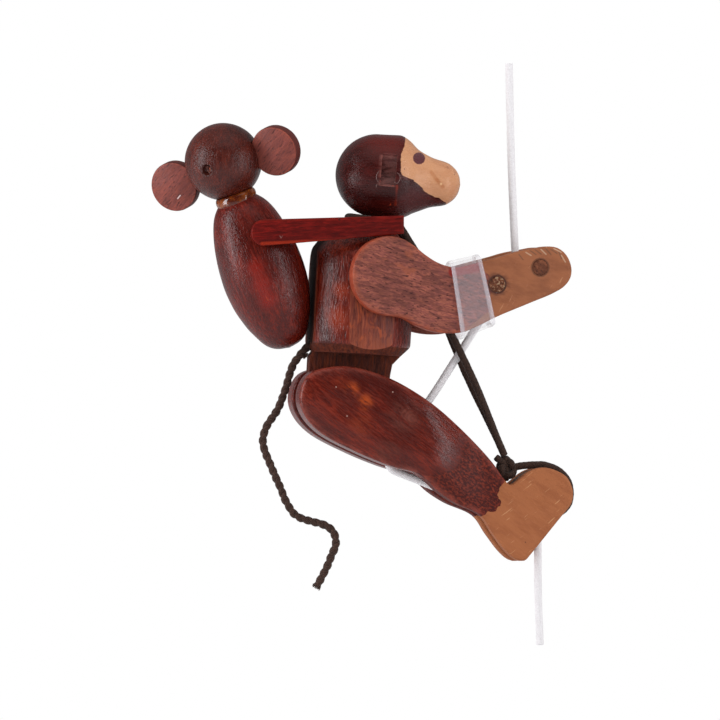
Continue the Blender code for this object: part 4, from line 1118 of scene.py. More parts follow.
def make_tail(brown):
    """The tail: a cord of two strands laid together, its cut end frayed."""
    route = [tail_root(depth * MM) for depth in (5.7, 0.0, -2.5)] + in_plane(TAIL_ROUTE)
    points = even_points(route, 0.35 * MM)
    form = bmesh.new()
    for phase in (0.0, math.pi):
        strand = []
        travelled = 0.0
        for index, (point, (side, rise)) in enumerate(zip(points, transport_frames(points))):
            if index:
                travelled += (point - points[index - 1]).length
            angle = phase + math.tau * travelled / TAIL_LAY
            strand.append(point + (side * math.cos(angle) + rise * math.sin(angle)) * TAIL_STRAND_OFFSET)
        tube_into(form, strand, TAIL_STRAND_RADIUS, 16, yarn(phase))
    downward = (points[-1] - points[-6]).normalized()
    for index in range(FRAY_COUNT):
        turn = math.tau * index / FRAY_COUNT + 0.4 * (index % 3)
        lean = 0.25 + 0.5 * ((index * 7) % 5) / 4.0
        out = ACROSS * math.cos(turn) * 0.45 + downward.cross(ACROSS) * math.sin(turn)
        start = points[-1] + out * 0.9 * MM - downward * 1.6 * MM
        length = (1.6 + 1.2 * ((index * 5) % 7) / 6.0) * MM
        bent = start + downward * length * 0.5 + out * lean * 0.3 * MM
        tip = start + downward * length + out * lean * 1.3 * MM
        tube_into(form, even_points([start, bent, tip], 0.3 * MM), 0.2 * MM, 6)
    for depth, direction in ((-3.2, (0.9, -0.3, -0.5)), (-3.6, (0.7, -0.1, -0.9))):
        place = tail_root(depth * MM)
        direction = Vector(direction).normalized()
        for index in range(6):
            turn = index * 1.05
            side = direction.cross(UP).normalized() * math.cos(turn)
            side += direction.cross(ACROSS).normalized() * math.sin(turn)
            steps = ((0, 0), (1.3, 0.3), (2.6, 0.7))
            hair = [place + direction * along * MM + side * out * MM for along, out in steps]
            tube_into(form, even_points(hair, 0.4 * MM), 0.26 * MM, 6)
    tail = mesh_piece("tail", form, brown, CORD_SMOOTHING)
    settle(tail, "figure", "tail_brown", "tail_cord")


# The parent


def head_matrix():
    """The head's own frame: Z along the muzzle, X down."""
    level = Vector((math.cos(HEAD_TURN), -math.sin(HEAD_TURN), 0.0))
    ahead = level * math.cos(HEAD_NOD) - UP * math.sin(HEAD_NOD)
    sideways = UP.cross(level)
    down = sideways.cross(ahead)
    return Matrix.Translation(HEAD_CENTRE) @ Matrix((down, sideways, ahead)).transposed().to_4x4()


def ear_rod(back, front, radius, clearance):
    return rod(back, front, radius + clearance, 96, 0.0 if clearance > 0.0 else EAR_CHAMFER)


def ear_disc(side, clearance):
    half = EAR_THICKNESS / 2.0 + clearance
    low, high = (
        head_matrix() @ Vector((-EAR_ABOVE, side * EAR_REACH, EAR_AHEAD + end)) for end in (-half, half)
    )
    return ear_rod(low, high, EAR_RADIUS, clearance)


def head_flat(local):
    """Places in the head's frame as (distance along the muzzle, distance round it), alike at both sides."""
    around = np.abs(np.arctan2(local[:, 1], -local[:, 0]))
    return np.stack((local[:, 2], around * 14.0 * MM), axis=1)


def make_head(material):
    profile = [(-HEAD_RADIUS, 0.0)]
    for index in range(1, BALL_STEPS + 1):
        angle = math.pi / 2.0 * index / BALL_STEPS
        profile.append((-HEAD_RADIUS * math.cos(angle), HEAD_RADIUS * math.sin(angle)))
    profile += profile_curve(MUZZLE_PROFILE, 0.6 * MM)

    def droop(height):
        return MUZZLE_DROOP * fade(height, 8.8 * MM, 18.0 * MM)

    head = mesh_piece("parent_head", turned(profile, 144, head_matrix(), droop), material)
    roughen(head, 0.09 * MM, 7.0 * MM, 2.0)
    tree = tree_of(head)
    subtract(head, ear_disc(-1.0, GAP), ear_disc(1.0, GAP))
    mesh = head.data
    smooth(mesh, 32.0)
    inward = head_matrix().inverted()
    local = through(inward, coordinates(mesh))
    line = head_flat(through(inward, np.array([tuple(pixel_on_piece(tree, pixel)) for pixel in MASK_LINE])))
    line = line[np.argsort(line[:, 1])]
    spots = head_flat(local)
    paint_from = np.interp(spots[:, 1], line[:, 1], line[:, 0])
    set_attribute(mesh, "paint", (spots[:, 0] - paint_from) * PER_MM)
    eye = inward @ pixel_on_piece(tree, EYE_PIXEL)
    set_attribute(mesh, "eye", np.hypot(local[:, 0] - eye.x, local[:, 2] - eye.z) * PER_MM)
    wear_near_edges(head)
    settle(head, "head_and_ear", "stained_wood", "head")
    return tree


def make_glue_traces(tree, material):
    """Runs of dried glue round the empty ear slot."""
    form = bmesh.new()
    for pixels in GLUE_TRACES:
        route = [pixel_on_piece(tree, pixel) for pixel in pixels]
        tube_into(form, even_points(route, 0.2 * MM), 0.17 * MM, 8)
    settle(mesh_piece("dried_glue", form, material, CORD_SMOOTHING), "head_and_ear", "amber_glue")


def make_far_ear(material):
    ear = mesh_piece("parent_far_ear", ear_disc(1.0, 0.0), material, 30.0)
    edit(ear, split_large_faces)
    no_wear(ear)
    settle(ear, "head_and_ear", "stained_wood", "far_ear")


def arm_matrix(side):
    """The arm's own frame: X along it, Y up, Z outward from its inner face."""
    along = Vector((math.cos(ARM_YAW), -side * math.sin(ARM_YAW), 0.0))
    outward = Vector((math.sin(ARM_YAW), side * math.cos(ARM_YAW), 0.0))
    origin = Vector((SHOULDER.x, 0.0, 0.0)) + outward * ARM_INNER
    return Matrix.Translation(origin) @ Matrix((along, UP, outward)).transposed().to_4x4()


def upright_matrix(side):
    """Turns a board's own plane to X and Z, with its outer face towards that side."""
    return Matrix(((1, 0, 0, 0), (0, 0, side, 0), (0, 1, 0, 0), (0, 0, 0, 1)))


def pixel_on_arm(pixel):
    """The place on the near arm's outer face that a pixel shows."""
    matrix = arm_matrix(-1.0)
    return pixel_on_plane(pixel, matrix @ Vector((0.0, 0.0, ARM_THICKNESS)), matrix.to_3x3() @ UP)


def make_arm(label, side, material):
    shoulder = arc((ARM_DISC_CENTRE, SHOULDER.z), ARM_DISC_RADIUS, 92.0, 262.0, 12)
    outline = smooth_points(shoulder + flat(ARM_EDGE), True, 1.5 * MM)
    inward = arm_matrix(-1.0).inverted()
    line = [tuple((inward @ pixel_on_arm(pixel)).xy) for pixel in HAND_PAINT_LINE]
    arm = board_piece(
        f"parent_{label}_arm", material, outline, 0.0, level_face(ARM_THICKNESS),
        ARM_EASE, arm_matrix(side), 1.2 * ARM_EASE, lambda heights: heights > ARM_THICKNESS * 0.5,
        (90.0, side, 0.10 * MM), {"paint": line},
    )
    for peg in (FRONT_PEG, REAR_PEG):
        drill = ACROSS * DRILL_REACH
        subtract(arm, rod(peg - drill, peg + drill, PEG_RADIUS + PEG_PLAY))
    smooth(arm.data, BOARD_SMOOTHING)
    settle(arm, "figure", "arm_wood", f"{label}_arm")


def make_peg(label, centre, torn, material):
    """A hand peg; each end is dense enough to be chipped."""
    yaw_shift = (centre.x - SHOULDER.x) * math.tan(ARM_YAW)
    hand_outside = (ARM_INNER + ARM_THICKNESS) / math.cos(ARM_YAW) - yaw_shift
    half = hand_outside + PEG_PROUD
    rings = [(-half, PEG_RADIUS * share) for share in (0.0, 0.15, 0.3, 0.45, 0.6, 0.72, 0.84, 0.93)]
    rings += [(-half + 0.15 * MM, PEG_RADIUS * 0.985)]
    rings += [(-half + step * MM, PEG_RADIUS) for step in (0.5, 2.0)]
    rings += [(-height, radius) for height, radius in reversed(rings)]
    peg = mesh_piece(f"{label}_peg", turned(rings, 48, frame_on(centre, ACROSS, UP)), material, 60.0)
    places = coordinates(peg.data)
    for index, place in enumerate(places):
        reach = math.hypot(place[0] - centre.x, place[2] - centre.z)
        if half - abs(place[1]) < 0.3 * MM:
            spot = Vector(place) / (1.1 * MM)
            chip = noise.noise(spot) + 0.5 * noise.noise(spot * 2.3)
            amount = torn * MM * (0.45 * chip - 0.35 * (reach < PEG_RADIUS * 0.95))
            places[index][1] -= math.copysign(max(-0.35 * MM, -amount), place[1])
    set_coordinates(peg.data, places)
    settle(peg, "figure", "bare_wood", f"{label}_hand_peg")


def slab(matrix):
    """A cutter that fills the space just above the matrix's own XY plane."""
    form = bmesh.new()
    bmesh.ops.create_cube(form, size=1.0)
    lift = Matrix.Translation((0.0, 0.0, SLAB_DEPTH / 2.0))
    size = Matrix.Diagonal((SLAB_WIDTH, SLAB_WIDTH, SLAB_DEPTH, 1.0))
    bmesh.ops.transform(form, matrix=matrix @ lift @ size, verts=form.verts)
    return form


def make_torso(materials):
    profile = profile_curve(TORSO_PROFILE, 0.9 * MM)
    torso = mesh_piece("parent_torso", turned(profile, 144, frame_on(TORSO_RIM, TORSO_AXIS)))
    rounded = arc((HIP.x, HIP.z), TONGUE_ROUND_RADIUS, -50.0, -180.0, 9)
    outline = flat(TONGUE_FRONT) + rounded + flat(TONGUE_BACK)
    fine = []
    for here, after in zip(outline, outline[1:] + outline[:1]):
        pieces = max(1, round((after - here).length / TONGUE_SPACING))
        fine += [here.lerp(after, share / pieces) for share in range(pieces)]
    front = level_face(TONGUE_HALF_WIDTH)
    tongue = dense_board(fine, -TONGUE_HALF_WIDTH, front, TONGUE_EASE, TONGUE_SPACING, 2)
    bmesh.ops.transform(tongue, matrix=upright_matrix(1.0), verts=tongue.verts)
    subtract(torso, tongue, operation="UNION")
    back = torso_direction(180.0)
    sides = [slab(arm_matrix(side) @ Matrix.Translation((0.0, SHOULDER.z, -GAP))) for side in (-1.0, 1.0)]
    behind = slab(frame_on(on_torso(0.0, BACK_FLAT_REACH, 180.0), back))
    subtract(torso, *sides, behind, rod(tail_root(6.0 * MM), tail_root(-20.0 * MM), TAIL_RADIUS + GAP))
    for material in materials:
        torso.data.materials.append(material)
    milled = [arm_matrix(side).to_3x3() @ UP for side in (-1.0, 1.0)] + [back]

    def assign(form):
        """The turned wood, the underside with its tongue, and the milled flats."""
        split_large_faces(form)
        for face in form.faces:
            height = (face.calc_center_median() - TORSO_RIM).dot(TORSO_AXIS)
            if height < -0.3 * MM:
                face.material_index = 1
            else:
                face.material_index = 2 if any(face.normal.dot(way) > 0.998 for way in milled) else 0

    edit(torso, assign)
    wear_near_edges(torso)
    smooth(torso.data, 34.0)
    settle(torso, "figure", "stained_wood", "torso")


def leg_front(places, distances):
    """The leg's outer face: a domed thigh that thins to a flat foot."""
    share = np.clip((places[:, 0] - ANKLE_FROM) / (ANKLE_TO - ANKLE_FROM), 0.0, 1.0)
    share = share * share * (3.0 - 2.0 * share)
    wall = THIGH_WALL + (FOOT_WALL - THIGH_WALL) * share
    swell = THIGH_CROWN * (1.0 - share)
    return LEG_INNER + wall + swell * np.sin(0.5 * math.pi * np.minimum(1.0, distances / CROWN_REACH))


def make_leg(label, side, material):
    curve = smooth_points(flat(LEG_EDGE), False, 1.5 * MM)
    sole = [curve[-1].lerp(curve[0], share / 14.0) for share in range(1, 14)]
    depth = -(LEG_INNER + FOOT_WALL)
    lines = {"paint": pixels_at_depth(FOOT_PAINT_LINE, depth), "ankle": pixels_at_depth(ANKLE_LINE, depth)}
    leg = board_piece(
        f"parent_{label}_leg", material, curve + sole, LEG_INNER, leg_front, LEG_EASE, upright_matrix(side),
        1.3 * LEG_EASE, lambda heights: np.clip((heights - LEG_INNER - 2.0 * MM) / (3.0 * MM), 0.0, 1.0),
        (75.0, 4.0 * side, 0.22 * MM), lines, 4,
    )
    smooth(leg.data, BOARD_SMOOTHING)
    settle(leg, "legs", "stained_wood", f"{label}_leg")


def make_cuff(materials):
    """A sleeve of soft clear plastic round the near wrist, its edges rounded."""
    form = bmesh.new()
    shares = [0.0, 0.04, 0.12] + [0.12 + 0.076 * step for step in range(1, 11)] + [0.96, 1.0]
    section = [(share, 0.0) for share in shares] + [(share, 1.0) for share in reversed(shares)]
    middle = ARM_THICKNESS / 2.0
    loops = []
    for share, layer in section:
        rim = share in (0.0, 1.0)
        height = GAP + CUFF_WALL * (0.25 + 0.5 * layer if rim else layer)
        height += 0.10 * MM * math.sin(share * 7.0) * layer
        top, bottom = (start.lerp(end, share) * MM for start, end in zip(CUFF_LEFT, CUFF_RIGHT))
        down = (bottom - top).normalized()
        ring = []
        for centre, other, sign in ((bottom, top, 1.0), (top, bottom, -1.0)):
            for step in range(CUFF_END_STEPS + 1):
                angle = math.pi * step / CUFF_END_STEPS
                spot = centre + down * sign * (height + CUFF_BULGE) * math.sin(angle)
                ring.append(spot.to_3d() + UP * (middle + sign * (height + middle) * math.cos(angle)))
            bow = CUFF_BOW if sign < 0.0 else 0.0
            for step in range(1, CUFF_SIDE_STEPS):
                spot = centre.lerp(other, step / CUFF_SIDE_STEPS)
                rise = bow * math.sin(math.pi * step / CUFF_SIDE_STEPS)
                ring.append(spot.to_3d() + UP * (middle - sign * (height + middle) + rise))
        loops.append([form.verts.new(arm_matrix(-1.0) @ point) for point in ring])
    rim_loops = set()
    for index, loop in enumerate(loops):
        after = (index + 1) % len(loops)
        bridge(form, loop, loops[after])
        centre_share = (section[index][0] + section[after][0]) / 2.0
        if min(centre_share, 1.0 - centre_share) < 0.1:
            rim_loops.add(index)
    per_loop = len(loops[0])
    cuff = mesh_piece("clear_cuff", form, angle=50.0)
    for material in materials:
        cuff.data.materials.append(material)
    for index, face in enumerate(cuff.data.polygons):
        face.material_index = int(index // per_loop in rim_loops)
    settle(cuff, "figure", "clear_plastic", "wrist_band")


# The young one


def make_baby_body(material):
    form = turned(profile_curve(BABY_PROFILE, 0.8 * MM), 128, frame_on(BABY_TOP, BABY_AXIS))
    body = mesh_piece("young_body", form, material)
    seat = bmesh.new()
    bmesh.ops.create_icosphere(seat, subdivisions=5, radius=BABY_HEAD_RADIUS + GAP)
    bmesh.ops.translate(seat, verts=seat.verts, vec=BABY_HEAD_CENTRE)
    roughen(body, 0.10 * MM, 8.0 * MM, 5.0)
    subtract(body, seat)
    no_wear(body)
    smooth(body.data, 40.0)
    settle(body, "young_one", "stained_wood", "baby_body")


def baby_ear_face(side):
    return BABY_HEAD_CENTRE + BABY_EAR_LINE * side * BABY_EAR_REACH - UP * BABY_EAR_DROP


def baby_ear(side, clearance):
    face = baby_ear_face(side)
    back = face - BABY_FACE * (BABY_EAR_THICKNESS + clearance)
    return ear_rod(back, face + BABY_FACE * clearance, BABY_EAR_RADIUS, clearance)


def nose_hole(from_nose):
    """How far the surface lies above the ball at that distance from the broken nose peg's centre."""
    if from_nose >= 3.2 * MM:
        return 0.0
    rim = math.exp(-((from_nose - 2.6 * MM) / (0.35 * MM)) ** 2)
    return 0.16 * MM * rim - 1.5 * MM * (1.0 - fade(from_nose, 1.5 * MM, 2.3 * MM))


def make_baby_head(material):
    """A ball with a broken nose peg in a chipped hole."""
    radius = BABY_HEAD_RADIUS
    close = [0.012 * index for index in range(1, 26)]
    wide = [0.3 + (math.pi - 0.3) * index / 80 for index in range(1, 80)]
    profile = [(radius * math.cos(a) + nose_hole(radius * a), radius * math.sin(a)) for a in close + wide]
    profile = [(radius, 0.0)] + profile + [(-radius, 0.0)]
    head = mesh_piece("young_head", turned(profile, 128, frame_on(BABY_HEAD_CENTRE, BABY_FACE)), material)
    places = coordinates(head.data)
    nose = np.array(BABY_HEAD_CENTRE + BABY_FACE * radius)
    for index, place in enumerate(places):
        gap = float(np.linalg.norm(place - nose))
        if gap < 3.4 * MM:
            chip = noise.noise(Vector(place) / (0.75 * MM)) * 0.32 * MM
            places[index] += np.array(BABY_FACE) * chip * (1.0 - fade(gap, 2.2 * MM, 3.4 * MM))
    set_coordinates(head.data, places)
    set_attribute(head.data, "nose", np.linalg.norm(places - nose, axis=1) * PER_MM)
    roughen(head, 0.10 * MM, 7.5 * MM, 9.0)
    subtract(head, baby_ear(-1.0, GAP), baby_ear(1.0, GAP))
    no_wear(head)
    smooth(head.data, 40.0)
    settle(head, "young_one", "stained_wood", "baby_head", "baby_nose_plug")


def make_baby_ears(material):
    for side, label in ((-1.0, "left"), (1.0, "right")):
        ear = mesh_piece(f"young_{label}_ear", baby_ear(side, 0.0), material, 30.0)
        edit(ear, split_large_faces)
        wear_near_edges(ear)
        settle(ear, "young_one", "arm_wood", f"baby_{label}_ear")


def make_neck_glue(material):
    """A bead of hardened glue round the young one's neck, thick and uneven in front."""
    form = bmesh.new()
    matrix = frame_on(BABY_TOP + BABY_AXIS * GLUE_RING_BELOW, BABY_AXIS)
    front = matrix.inverted().to_3x3() @ (-VIEW_AHEAD)
    front_angle = math.atan2(front.y, front.x)
    loops = []
    for step in range(GLUE_STEPS):
        around = math.tau * step / GLUE_STEPS
        facing = 0.5 + 0.5 * math.cos(around - front_angle - 0.35)
        ripple = noise.noise(Vector((math.cos(around) * 3.0, math.sin(around) * 3.0, 1.0)))
        thick = (0.7 + 0.6 * facing ** 2 + 0.3 * ripple) * MM
        drop = (0.2 + 1.0 * facing ** 3 + 0.4 * ripple) * MM
        loop = []
        for part in range(16):
            turn = math.tau * part / 16
            reach = GLUE_RING_RADIUS + 0.2 * MM * facing + thick * 0.8 * math.cos(turn)
            height = drop + thick * math.sin(turn) * 1.75 + max(0.0, reach - GLUE_RING_RADIUS) * 0.5
            spot = Vector((reach * math.cos(around), reach * math.sin(around), height))
            loop.append(form.verts.new(matrix @ spot))
        loops.append(loop)
    for index, loop in enumerate(loops):
        bridge(form, loop, loops[(index + 1) % len(loops)])
    glue = mesh_piece("neck_glue", form, material, CORD_SMOOTHING)
    settle(glue, "young_one", "amber_glue", "baby_neck_glue")


def make_baby_arm(label, side, material):
    outline = arc((-0.9 * MM, -0.5 * MM), BABY_ARM_END_RADIUS, 98.0, 262.0, 26)
    low = Vector((BABY_ARM_LENGTH, BABY_ARM_END_BOTTOM))
    high = Vector((BABY_ARM_LENGTH, BABY_ARM_END_TOP))
    for start, end, steps, last in ((outline[-1], low, 40, 41), (low, high, 6, 7), (high, outline[0], 40, 40)):
        outline += [start.lerp(end, step / steps) for step in range(1, last)]
    along = Vector((math.cos(BABY_ARM_YAW), side * math.sin(BABY_ARM_YAW), 0.0))
    outward = Vector((-math.sin(BABY_ARM_YAW), side * math.cos(BABY_ARM_YAW), 0.0))
    origin = BABY_PIN + ACROSS * side * BABY_ARM_INNER
    arm = board_piece(
        f"young_{label}_arm", material, outline, 0.0,
        level_face(BABY_ARM_THICKNESS), BABY_ARM_EASE,
        Matrix.Translation(origin) @ Matrix((along, UP, outward)).transposed().to_4x4(), 0.6 * MM,
        lambda heights: heights > BABY_ARM_THICKNESS * 0.5, (110.0, 7.0 * side, 0.08 * MM),
    )
    smooth(arm.data, BOARD_SMOOTHING)
    settle(arm, "figure", "stained_wood", f"baby_{label}_arm")


# What each surface looks like


class Wood(Graph):
    def __init__(
        self, name, axis, base, dark, glow, fleck_stretch=5.0, streak=0.5, fleck=0.5, cloud=0.6, band=0.4,
        scale=1.0, relief=(4.5, 0.95),
    ):
        super().__init__(name)
        self.wide = self.grain_space(axis, 2.5)
        self.fibres = self.noise(self.grain_space(axis, 7.0), 1.15 * scale, 3.0, 0.6, 0.35)
        bands = self.noise(self.grain_space(axis, 12.0), 0.4 * scale, 3.0, 0.5, 0.6)
        flecks = self.noise(self.grain_space(axis, fleck_stretch), 1.0 * scale, 3.0, 0.6)
        raised = self.noise(self.grain_space(axis, relief[0]), relief[1] * scale, 2.0, 0.6, 0.3)
        clouds = self.noise(self.wide, 0.075 * scale, 4.0, 0.55, 0.3)
        self.colour = base
        self.tint(self.between(self.fibres, 0.40, 0.64), glow, streak)
        self.tint(self.between(bands, 0.38, 0.64), dark, band)
        self.tint(self.between(flecks, 0.56, 0.68), dark, fleck)
        self.tint(self.between(clouds, 0.44, 0.66), dark, cloud)
        self.height = self.math("ADD", raised, self.times(flecks, -0.3))
        self.rough = 0.0
        self.dull = None

    def tint(self, share, colour, amount=1.0):
        self.colour = self.mix(self.times(share, amount), self.colour, colour)

    def worn_edges(self, colour, amount):
        breaks = self.between(self.noise(self.wide, 0.45, 3.0), 0.32, 0.6)
        self.tint(self.times(self.attribute("wear"), breaks), colour, amount)

    def patches(self, colour, scale, low, high, amount, distortion=0.8):
        self.tint(self.between(self.noise(self.wide, scale, 3.0, 0.6, distortion), low, high), colour, amount)

    def faded(self, distance, full, none):
        """1 up to the first distance, 0 beyond the second; millimetres."""
        return self.between(distance, full * MM, none * MM, 1.0, 0.0)

    def near(self, place, full, none):
        return self.faded(self.vector("DISTANCE", self.place(), place), full, none)

    def near_axis(self, centre, full, none):
        """Near the line through a place along Y."""
        flattened = self.mapped(self.place(), Scale=(1.0, 0.0, 1.0))
        return self.faded(self.vector("DISTANCE", flattened, (centre.x, 0.0, centre.z)), full, none)

    def near_line(self, start, end, full, none):
        """Near the straight line between two places."""
        length = (end - start).length
        direction = (end - start).normalized()
        offset = self.vector("SUBTRACT", self.place(), start, "Vector")
        along = self.vector("DOT_PRODUCT", offset, direction)
        held = self.node("ShaderNodeClamp", Value=along, Min=0.0, Max=length).outputs["Result"]
        spot = self.node("ShaderNodeVectorMath", {"operation": "SCALE"}, Vector=direction, Scale=held)
        return self.faded(self.vector("DISTANCE", offset, spot.outputs["Vector"]), full, none)

    def spot(self, place, full, none, colour, amount):
        self.tint(self.near(place, full, none), colour, amount)

    def dot(self, place, full, none, colour, amount):
        self.tint(self.near_axis(place, full, none), colour, amount)

    def stroke(self, start, end, full, none, colour, amount):
        self.tint(self.near_line(start, end, full, none), colour, amount)

    def ragged(self, level, axis, stretch, scale, detail, roughness, amount):
        """A distance with a ragged edge."""
        waves = self.noise(self.grain_space(axis, stretch), scale, detail, roughness)
        return self.math("ADD", level, self.times(self.math("SUBTRACT", waves, 0.5), amount))

    def paint_over(self, axis, coat, shade, edge_noise, scratches=None):
        """A brushed coat of paint where the paint attribute is above nothing, with a ragged edge."""
        level = self.ragged(self.attribute("paint"), axis, 1.6, 0.9, 3.0, 0.6, edge_noise)
        share = self.between(level, -0.10, 0.14)
        soft = self.noise(self.grain_space(axis, 3.0), 0.22, 4.0, 0.6)
        fine = self.noise(self.grain_space(axis, 6.0), 1.5, 4.0, 0.6)
        tone = self.mix(self.between(soft, 0.42, 0.68, 0.0, 0.75), coat, shade)
        tone = self.mix(self.between(fine, 0.60, 0.74, 0.0, 0.35), tone, shade)
        if scratches is not None:
            direction, colour, amount = scratches
            lines = self.noise(self.grain_space(direction, 9.0), 1.15, 2.0, 0.5)
            tone = self.mix(self.between(lines, 0.665, 0.72, 0.0, amount), tone, colour)
        self.colour = self.mix(share, self.colour, tone)
        return share

    def finish(self, roughness, spread, coat, coat_roughness, bump, sheen, depth=0.16):
        """The surface's gloss; dull is a mask that takes the coat away and roughens what is under it."""
        half = spread / 2.0
        rough = self.between(self.fibres, 0.3, 0.7, roughness - half, roughness + half)
        rough = self.math("ADD", rough, self.rough)
        self.shade(
            Base_Color=self.colour, Specular_IOR_Level=sheen, Coat_Weight=coat * COAT_SHARE,
            Coat_Roughness=coat_roughness, Normal=self.bump(self.height, bump, depth * 1.6 * MM),
        )
        if self.dull is not None:
            left = self.math("SUBTRACT", 1.0, self.dull, True)
            rough = self.math("ADD", rough, self.times(self.dull, 0.6), True)
            self.shade(Coat_Weight=self.times(left, coat * COAT_SHARE))
        return self.shade(Roughness=rough)


def head_wood():
    matrix = head_matrix()
    wood = Wood(
        "head_wood", matrix.to_3x3() @ UP, (72, 16, 12), (42, 9, 8), (96, 22, 14),
        cloud=0.75, streak=0.6, relief=(1.6, 1.7),
    )
    wood.spot(matrix @ (Vector((-13.0, -9.0, 3.0)) * MM), 2.0, 15.0, (106, 20, 9), 0.6)
    wood.spot(matrix @ (Vector((10.0, -9.0, 14.0)) * MM), 3.0, 11.0, (84, 38, 38), 0.75)
    return wood


def finish_head(wood, tree):
    def on_head(*pixels):
        return [pixel_on_piece(tree, pixel) for pixel in pixels]

    for start, end, width, colour, amount in HEAD_SCRATCHES:
        wood.stroke(*on_head(start, end), width * 0.4, width * 1.6, colour, amount)
    axis = head_matrix().to_3x3() @ UP
    wood.paint_over(axis, (216, 156, 114), (204, 142, 102), 0.9)
    for start, end, full, none, colour, amount in MUZZLE_SMEARS:
        wood.stroke(*on_head(start, end), full, none, colour, amount)
    wood.spot(*on_head(MUZZLE_CHIP), 0.25, 0.7, (236, 190, 140), 0.9)
    scuff = wood.between(wood.noise(wood.grain_space((1.0, 0.0, 0.4), 3.0), 1.3, 3.0, 0.6), 0.5, 0.62)
    wood.tint(wood.times(scuff, wood.near_line(*on_head(*BROW_SCUFF), 0.3, 1.7)), (150, 96, 70), 0.75)
    for place in on_head(*MASK_SPECKS):
        wood.spot(place, 0.12, 0.38, (120, 70, 56), 0.9)
    reach = wood.ragged(wood.attribute("eye"), axis, 1.0, 1.2, 2.0, 0.5, 0.45)
    speck = wood.between(wood.noise(wood.grain_space(axis, 1.0), 1.6, 2.0, 0.5), 0.5, 0.72)
    eye_tone = wood.mix(wood.times(speck, 0.5), (98, 52, 58), (120, 74, 60))
    wood.tint(wood.between(reach, 2.25, 2.6, 1.0, 0.0), eye_tone)
    wood.worn_edges((150, 92, 84), 0.55)
    wood.finish(0.28, 0.16, 0.2, 0.26, 0.8, 0.3)


def paint_back_shadow(wood):
    """Paints shadow, nearly black, down the strip of the torso's back beside the young one, and dulls its
    gloss there.
    """
    ends = [on_torso(height, BACK_FLAT_REACH, 180.0) for height in (-2.0 * MM, TORSO_TOP)]
    wood.dull = wood.near_line(*ends, 5.5, 11.0)
    # Painted shadow: the back strip is tinted nearly black
    wood.tint(wood.dull, (24, 8, 7), 0.95)


def torso_material():
    wood = Wood(
        "torso_wood", TORSO_AXIS, (94, 22, 11), (40, 8, 6), (136, 42, 18),
        cloud=0.6, streak=0.75, fleck=0.65, relief=(3.0, 1.2),
    )
    for pixel, full, none, amount in TORSO_GLOWS:
        wood.spot(pixel_at(pixel, TORSO_GLOW_DEPTH), full, none, (150, 52, 22), amount)
    wood.patches((146, 46, 20), 0.16, 0.56, 0.70, 0.5)
    wood.worn_edges((150, 60, 36), 0.5)
    # Painted shadow down the back strip beside the young one
    paint_back_shadow(wood)
    return wood.finish(0.28, 0.16, 0.24, 0.26, 1.0, 0.34, 0.24)


def flat_material():
    wood = Wood(
        "torso_flat", TORSO_AXIS, (118, 50, 38), (66, 22, 18), (164, 82, 54),
        cloud=0.45, streak=0.85, fleck=0.7, fleck_stretch=3.0,
    )
    wood.patches((172, 78, 42), 0.17, 0.56, 0.66, 0.85, 1.2)
    for start, end, amount in FLAT_RUBS:
        ends = [pixel_at(pixel, FLAT_RUB_DEPTH) for pixel in (start, end)]
        wood.stroke(*ends, 0.4, 2.2, (182, 84, 40), amount)
    wood.worn_edges((170, 84, 52), 0.6)
    # Painted shadow down the back strip beside the young one
    paint_back_shadow(wood)
    return wood.finish(0.46, 0.18, 0.16, 0.3, 0.75, 0.26, 0.3)


def underside_material():
    wood = Wood(
        "torso_underside", TORSO_AXIS, (86, 32, 18), (48, 16, 9), (122, 54, 28),
        cloud=0.45, streak=0.9, fleck=0.7, fleck_stretch=9.0,
    )
    wood.worn_edges((120, 60, 44), 0.4)
    return wood.finish(0.72, 0.2, 0.0, 0.5, 0.9, 0.26, 0.4)


def arm_material():
    axis = Vector((0.97, -0.12, -0.22))
    wood = Wood(
        "arm_stain", axis, (144, 76, 66), (66, 28, 26), (184, 104, 80),
        fleck_stretch=4.5, streak=0.8, fleck=0.95, cloud=0.3, band=0.5, scale=1.5,
    )
    wood.patches((176, 92, 60), 0.15, 0.60, 0.72, 0.5)
    wood.tint(wood.attribute("wall"), (176, 66, 30), 0.55)
    wood.worn_edges((190, 92, 54), 0.45)
    scratches = ((0.5, 0.0, 0.87), (196, 138, 98), 0.6)
    painted = wood.paint_over(axis, (162, 98, 62), (138, 80, 50), 1.0, scratches)
    # Painted shade: a dark ring round each hand peg, where the gap between peg and hole lies in shade
    for centre, amount in ((FRONT_PEG, 0.55), (REAR_PEG, 0.9)):
        disc = wood.near_axis(centre, PEG_SHADE_RING_OUTSIDE, PEG_SHADE_RING_OUTSIDE + PEG_SHADE_RING_FADE)
        hole = wood.near_axis(centre, PEG_SHADE_RING_INSIDE - PEG_SHADE_RING_FADE, PEG_SHADE_RING_INSIDE)
        ring = wood.math("SUBTRACT", disc, hole, True)
        wood.tint(ring, (74, 44, 30), amount)
    breaks = wood.between(wood.noise(wood.wide, 0.6, 3.0), 0.35, 0.6)
    wood.tint(wood.times(wood.near_axis(REAR_PEG, 3.4, 6.2), breaks), (84, 42, 30), 0.75)
    for index, ends in enumerate(HAND_SCRATCHES):
        colour = (92, 66, 50) if index % 3 else (210, 180, 150)
        wood.stroke(*map(pixel_on_arm, ends), 0.1, 0.42, colour, 0.55)
    wood.stroke(*map(pixel_on_arm, RED_UNDER_CUFF), 1.3, 2.4, (150, 24, 18), 0.85)
    wood.rough = wood.times(painted, 0.06)
    return wood.finish(0.50, 0.14, 0.08, 0.4, 0.55, 0.26)


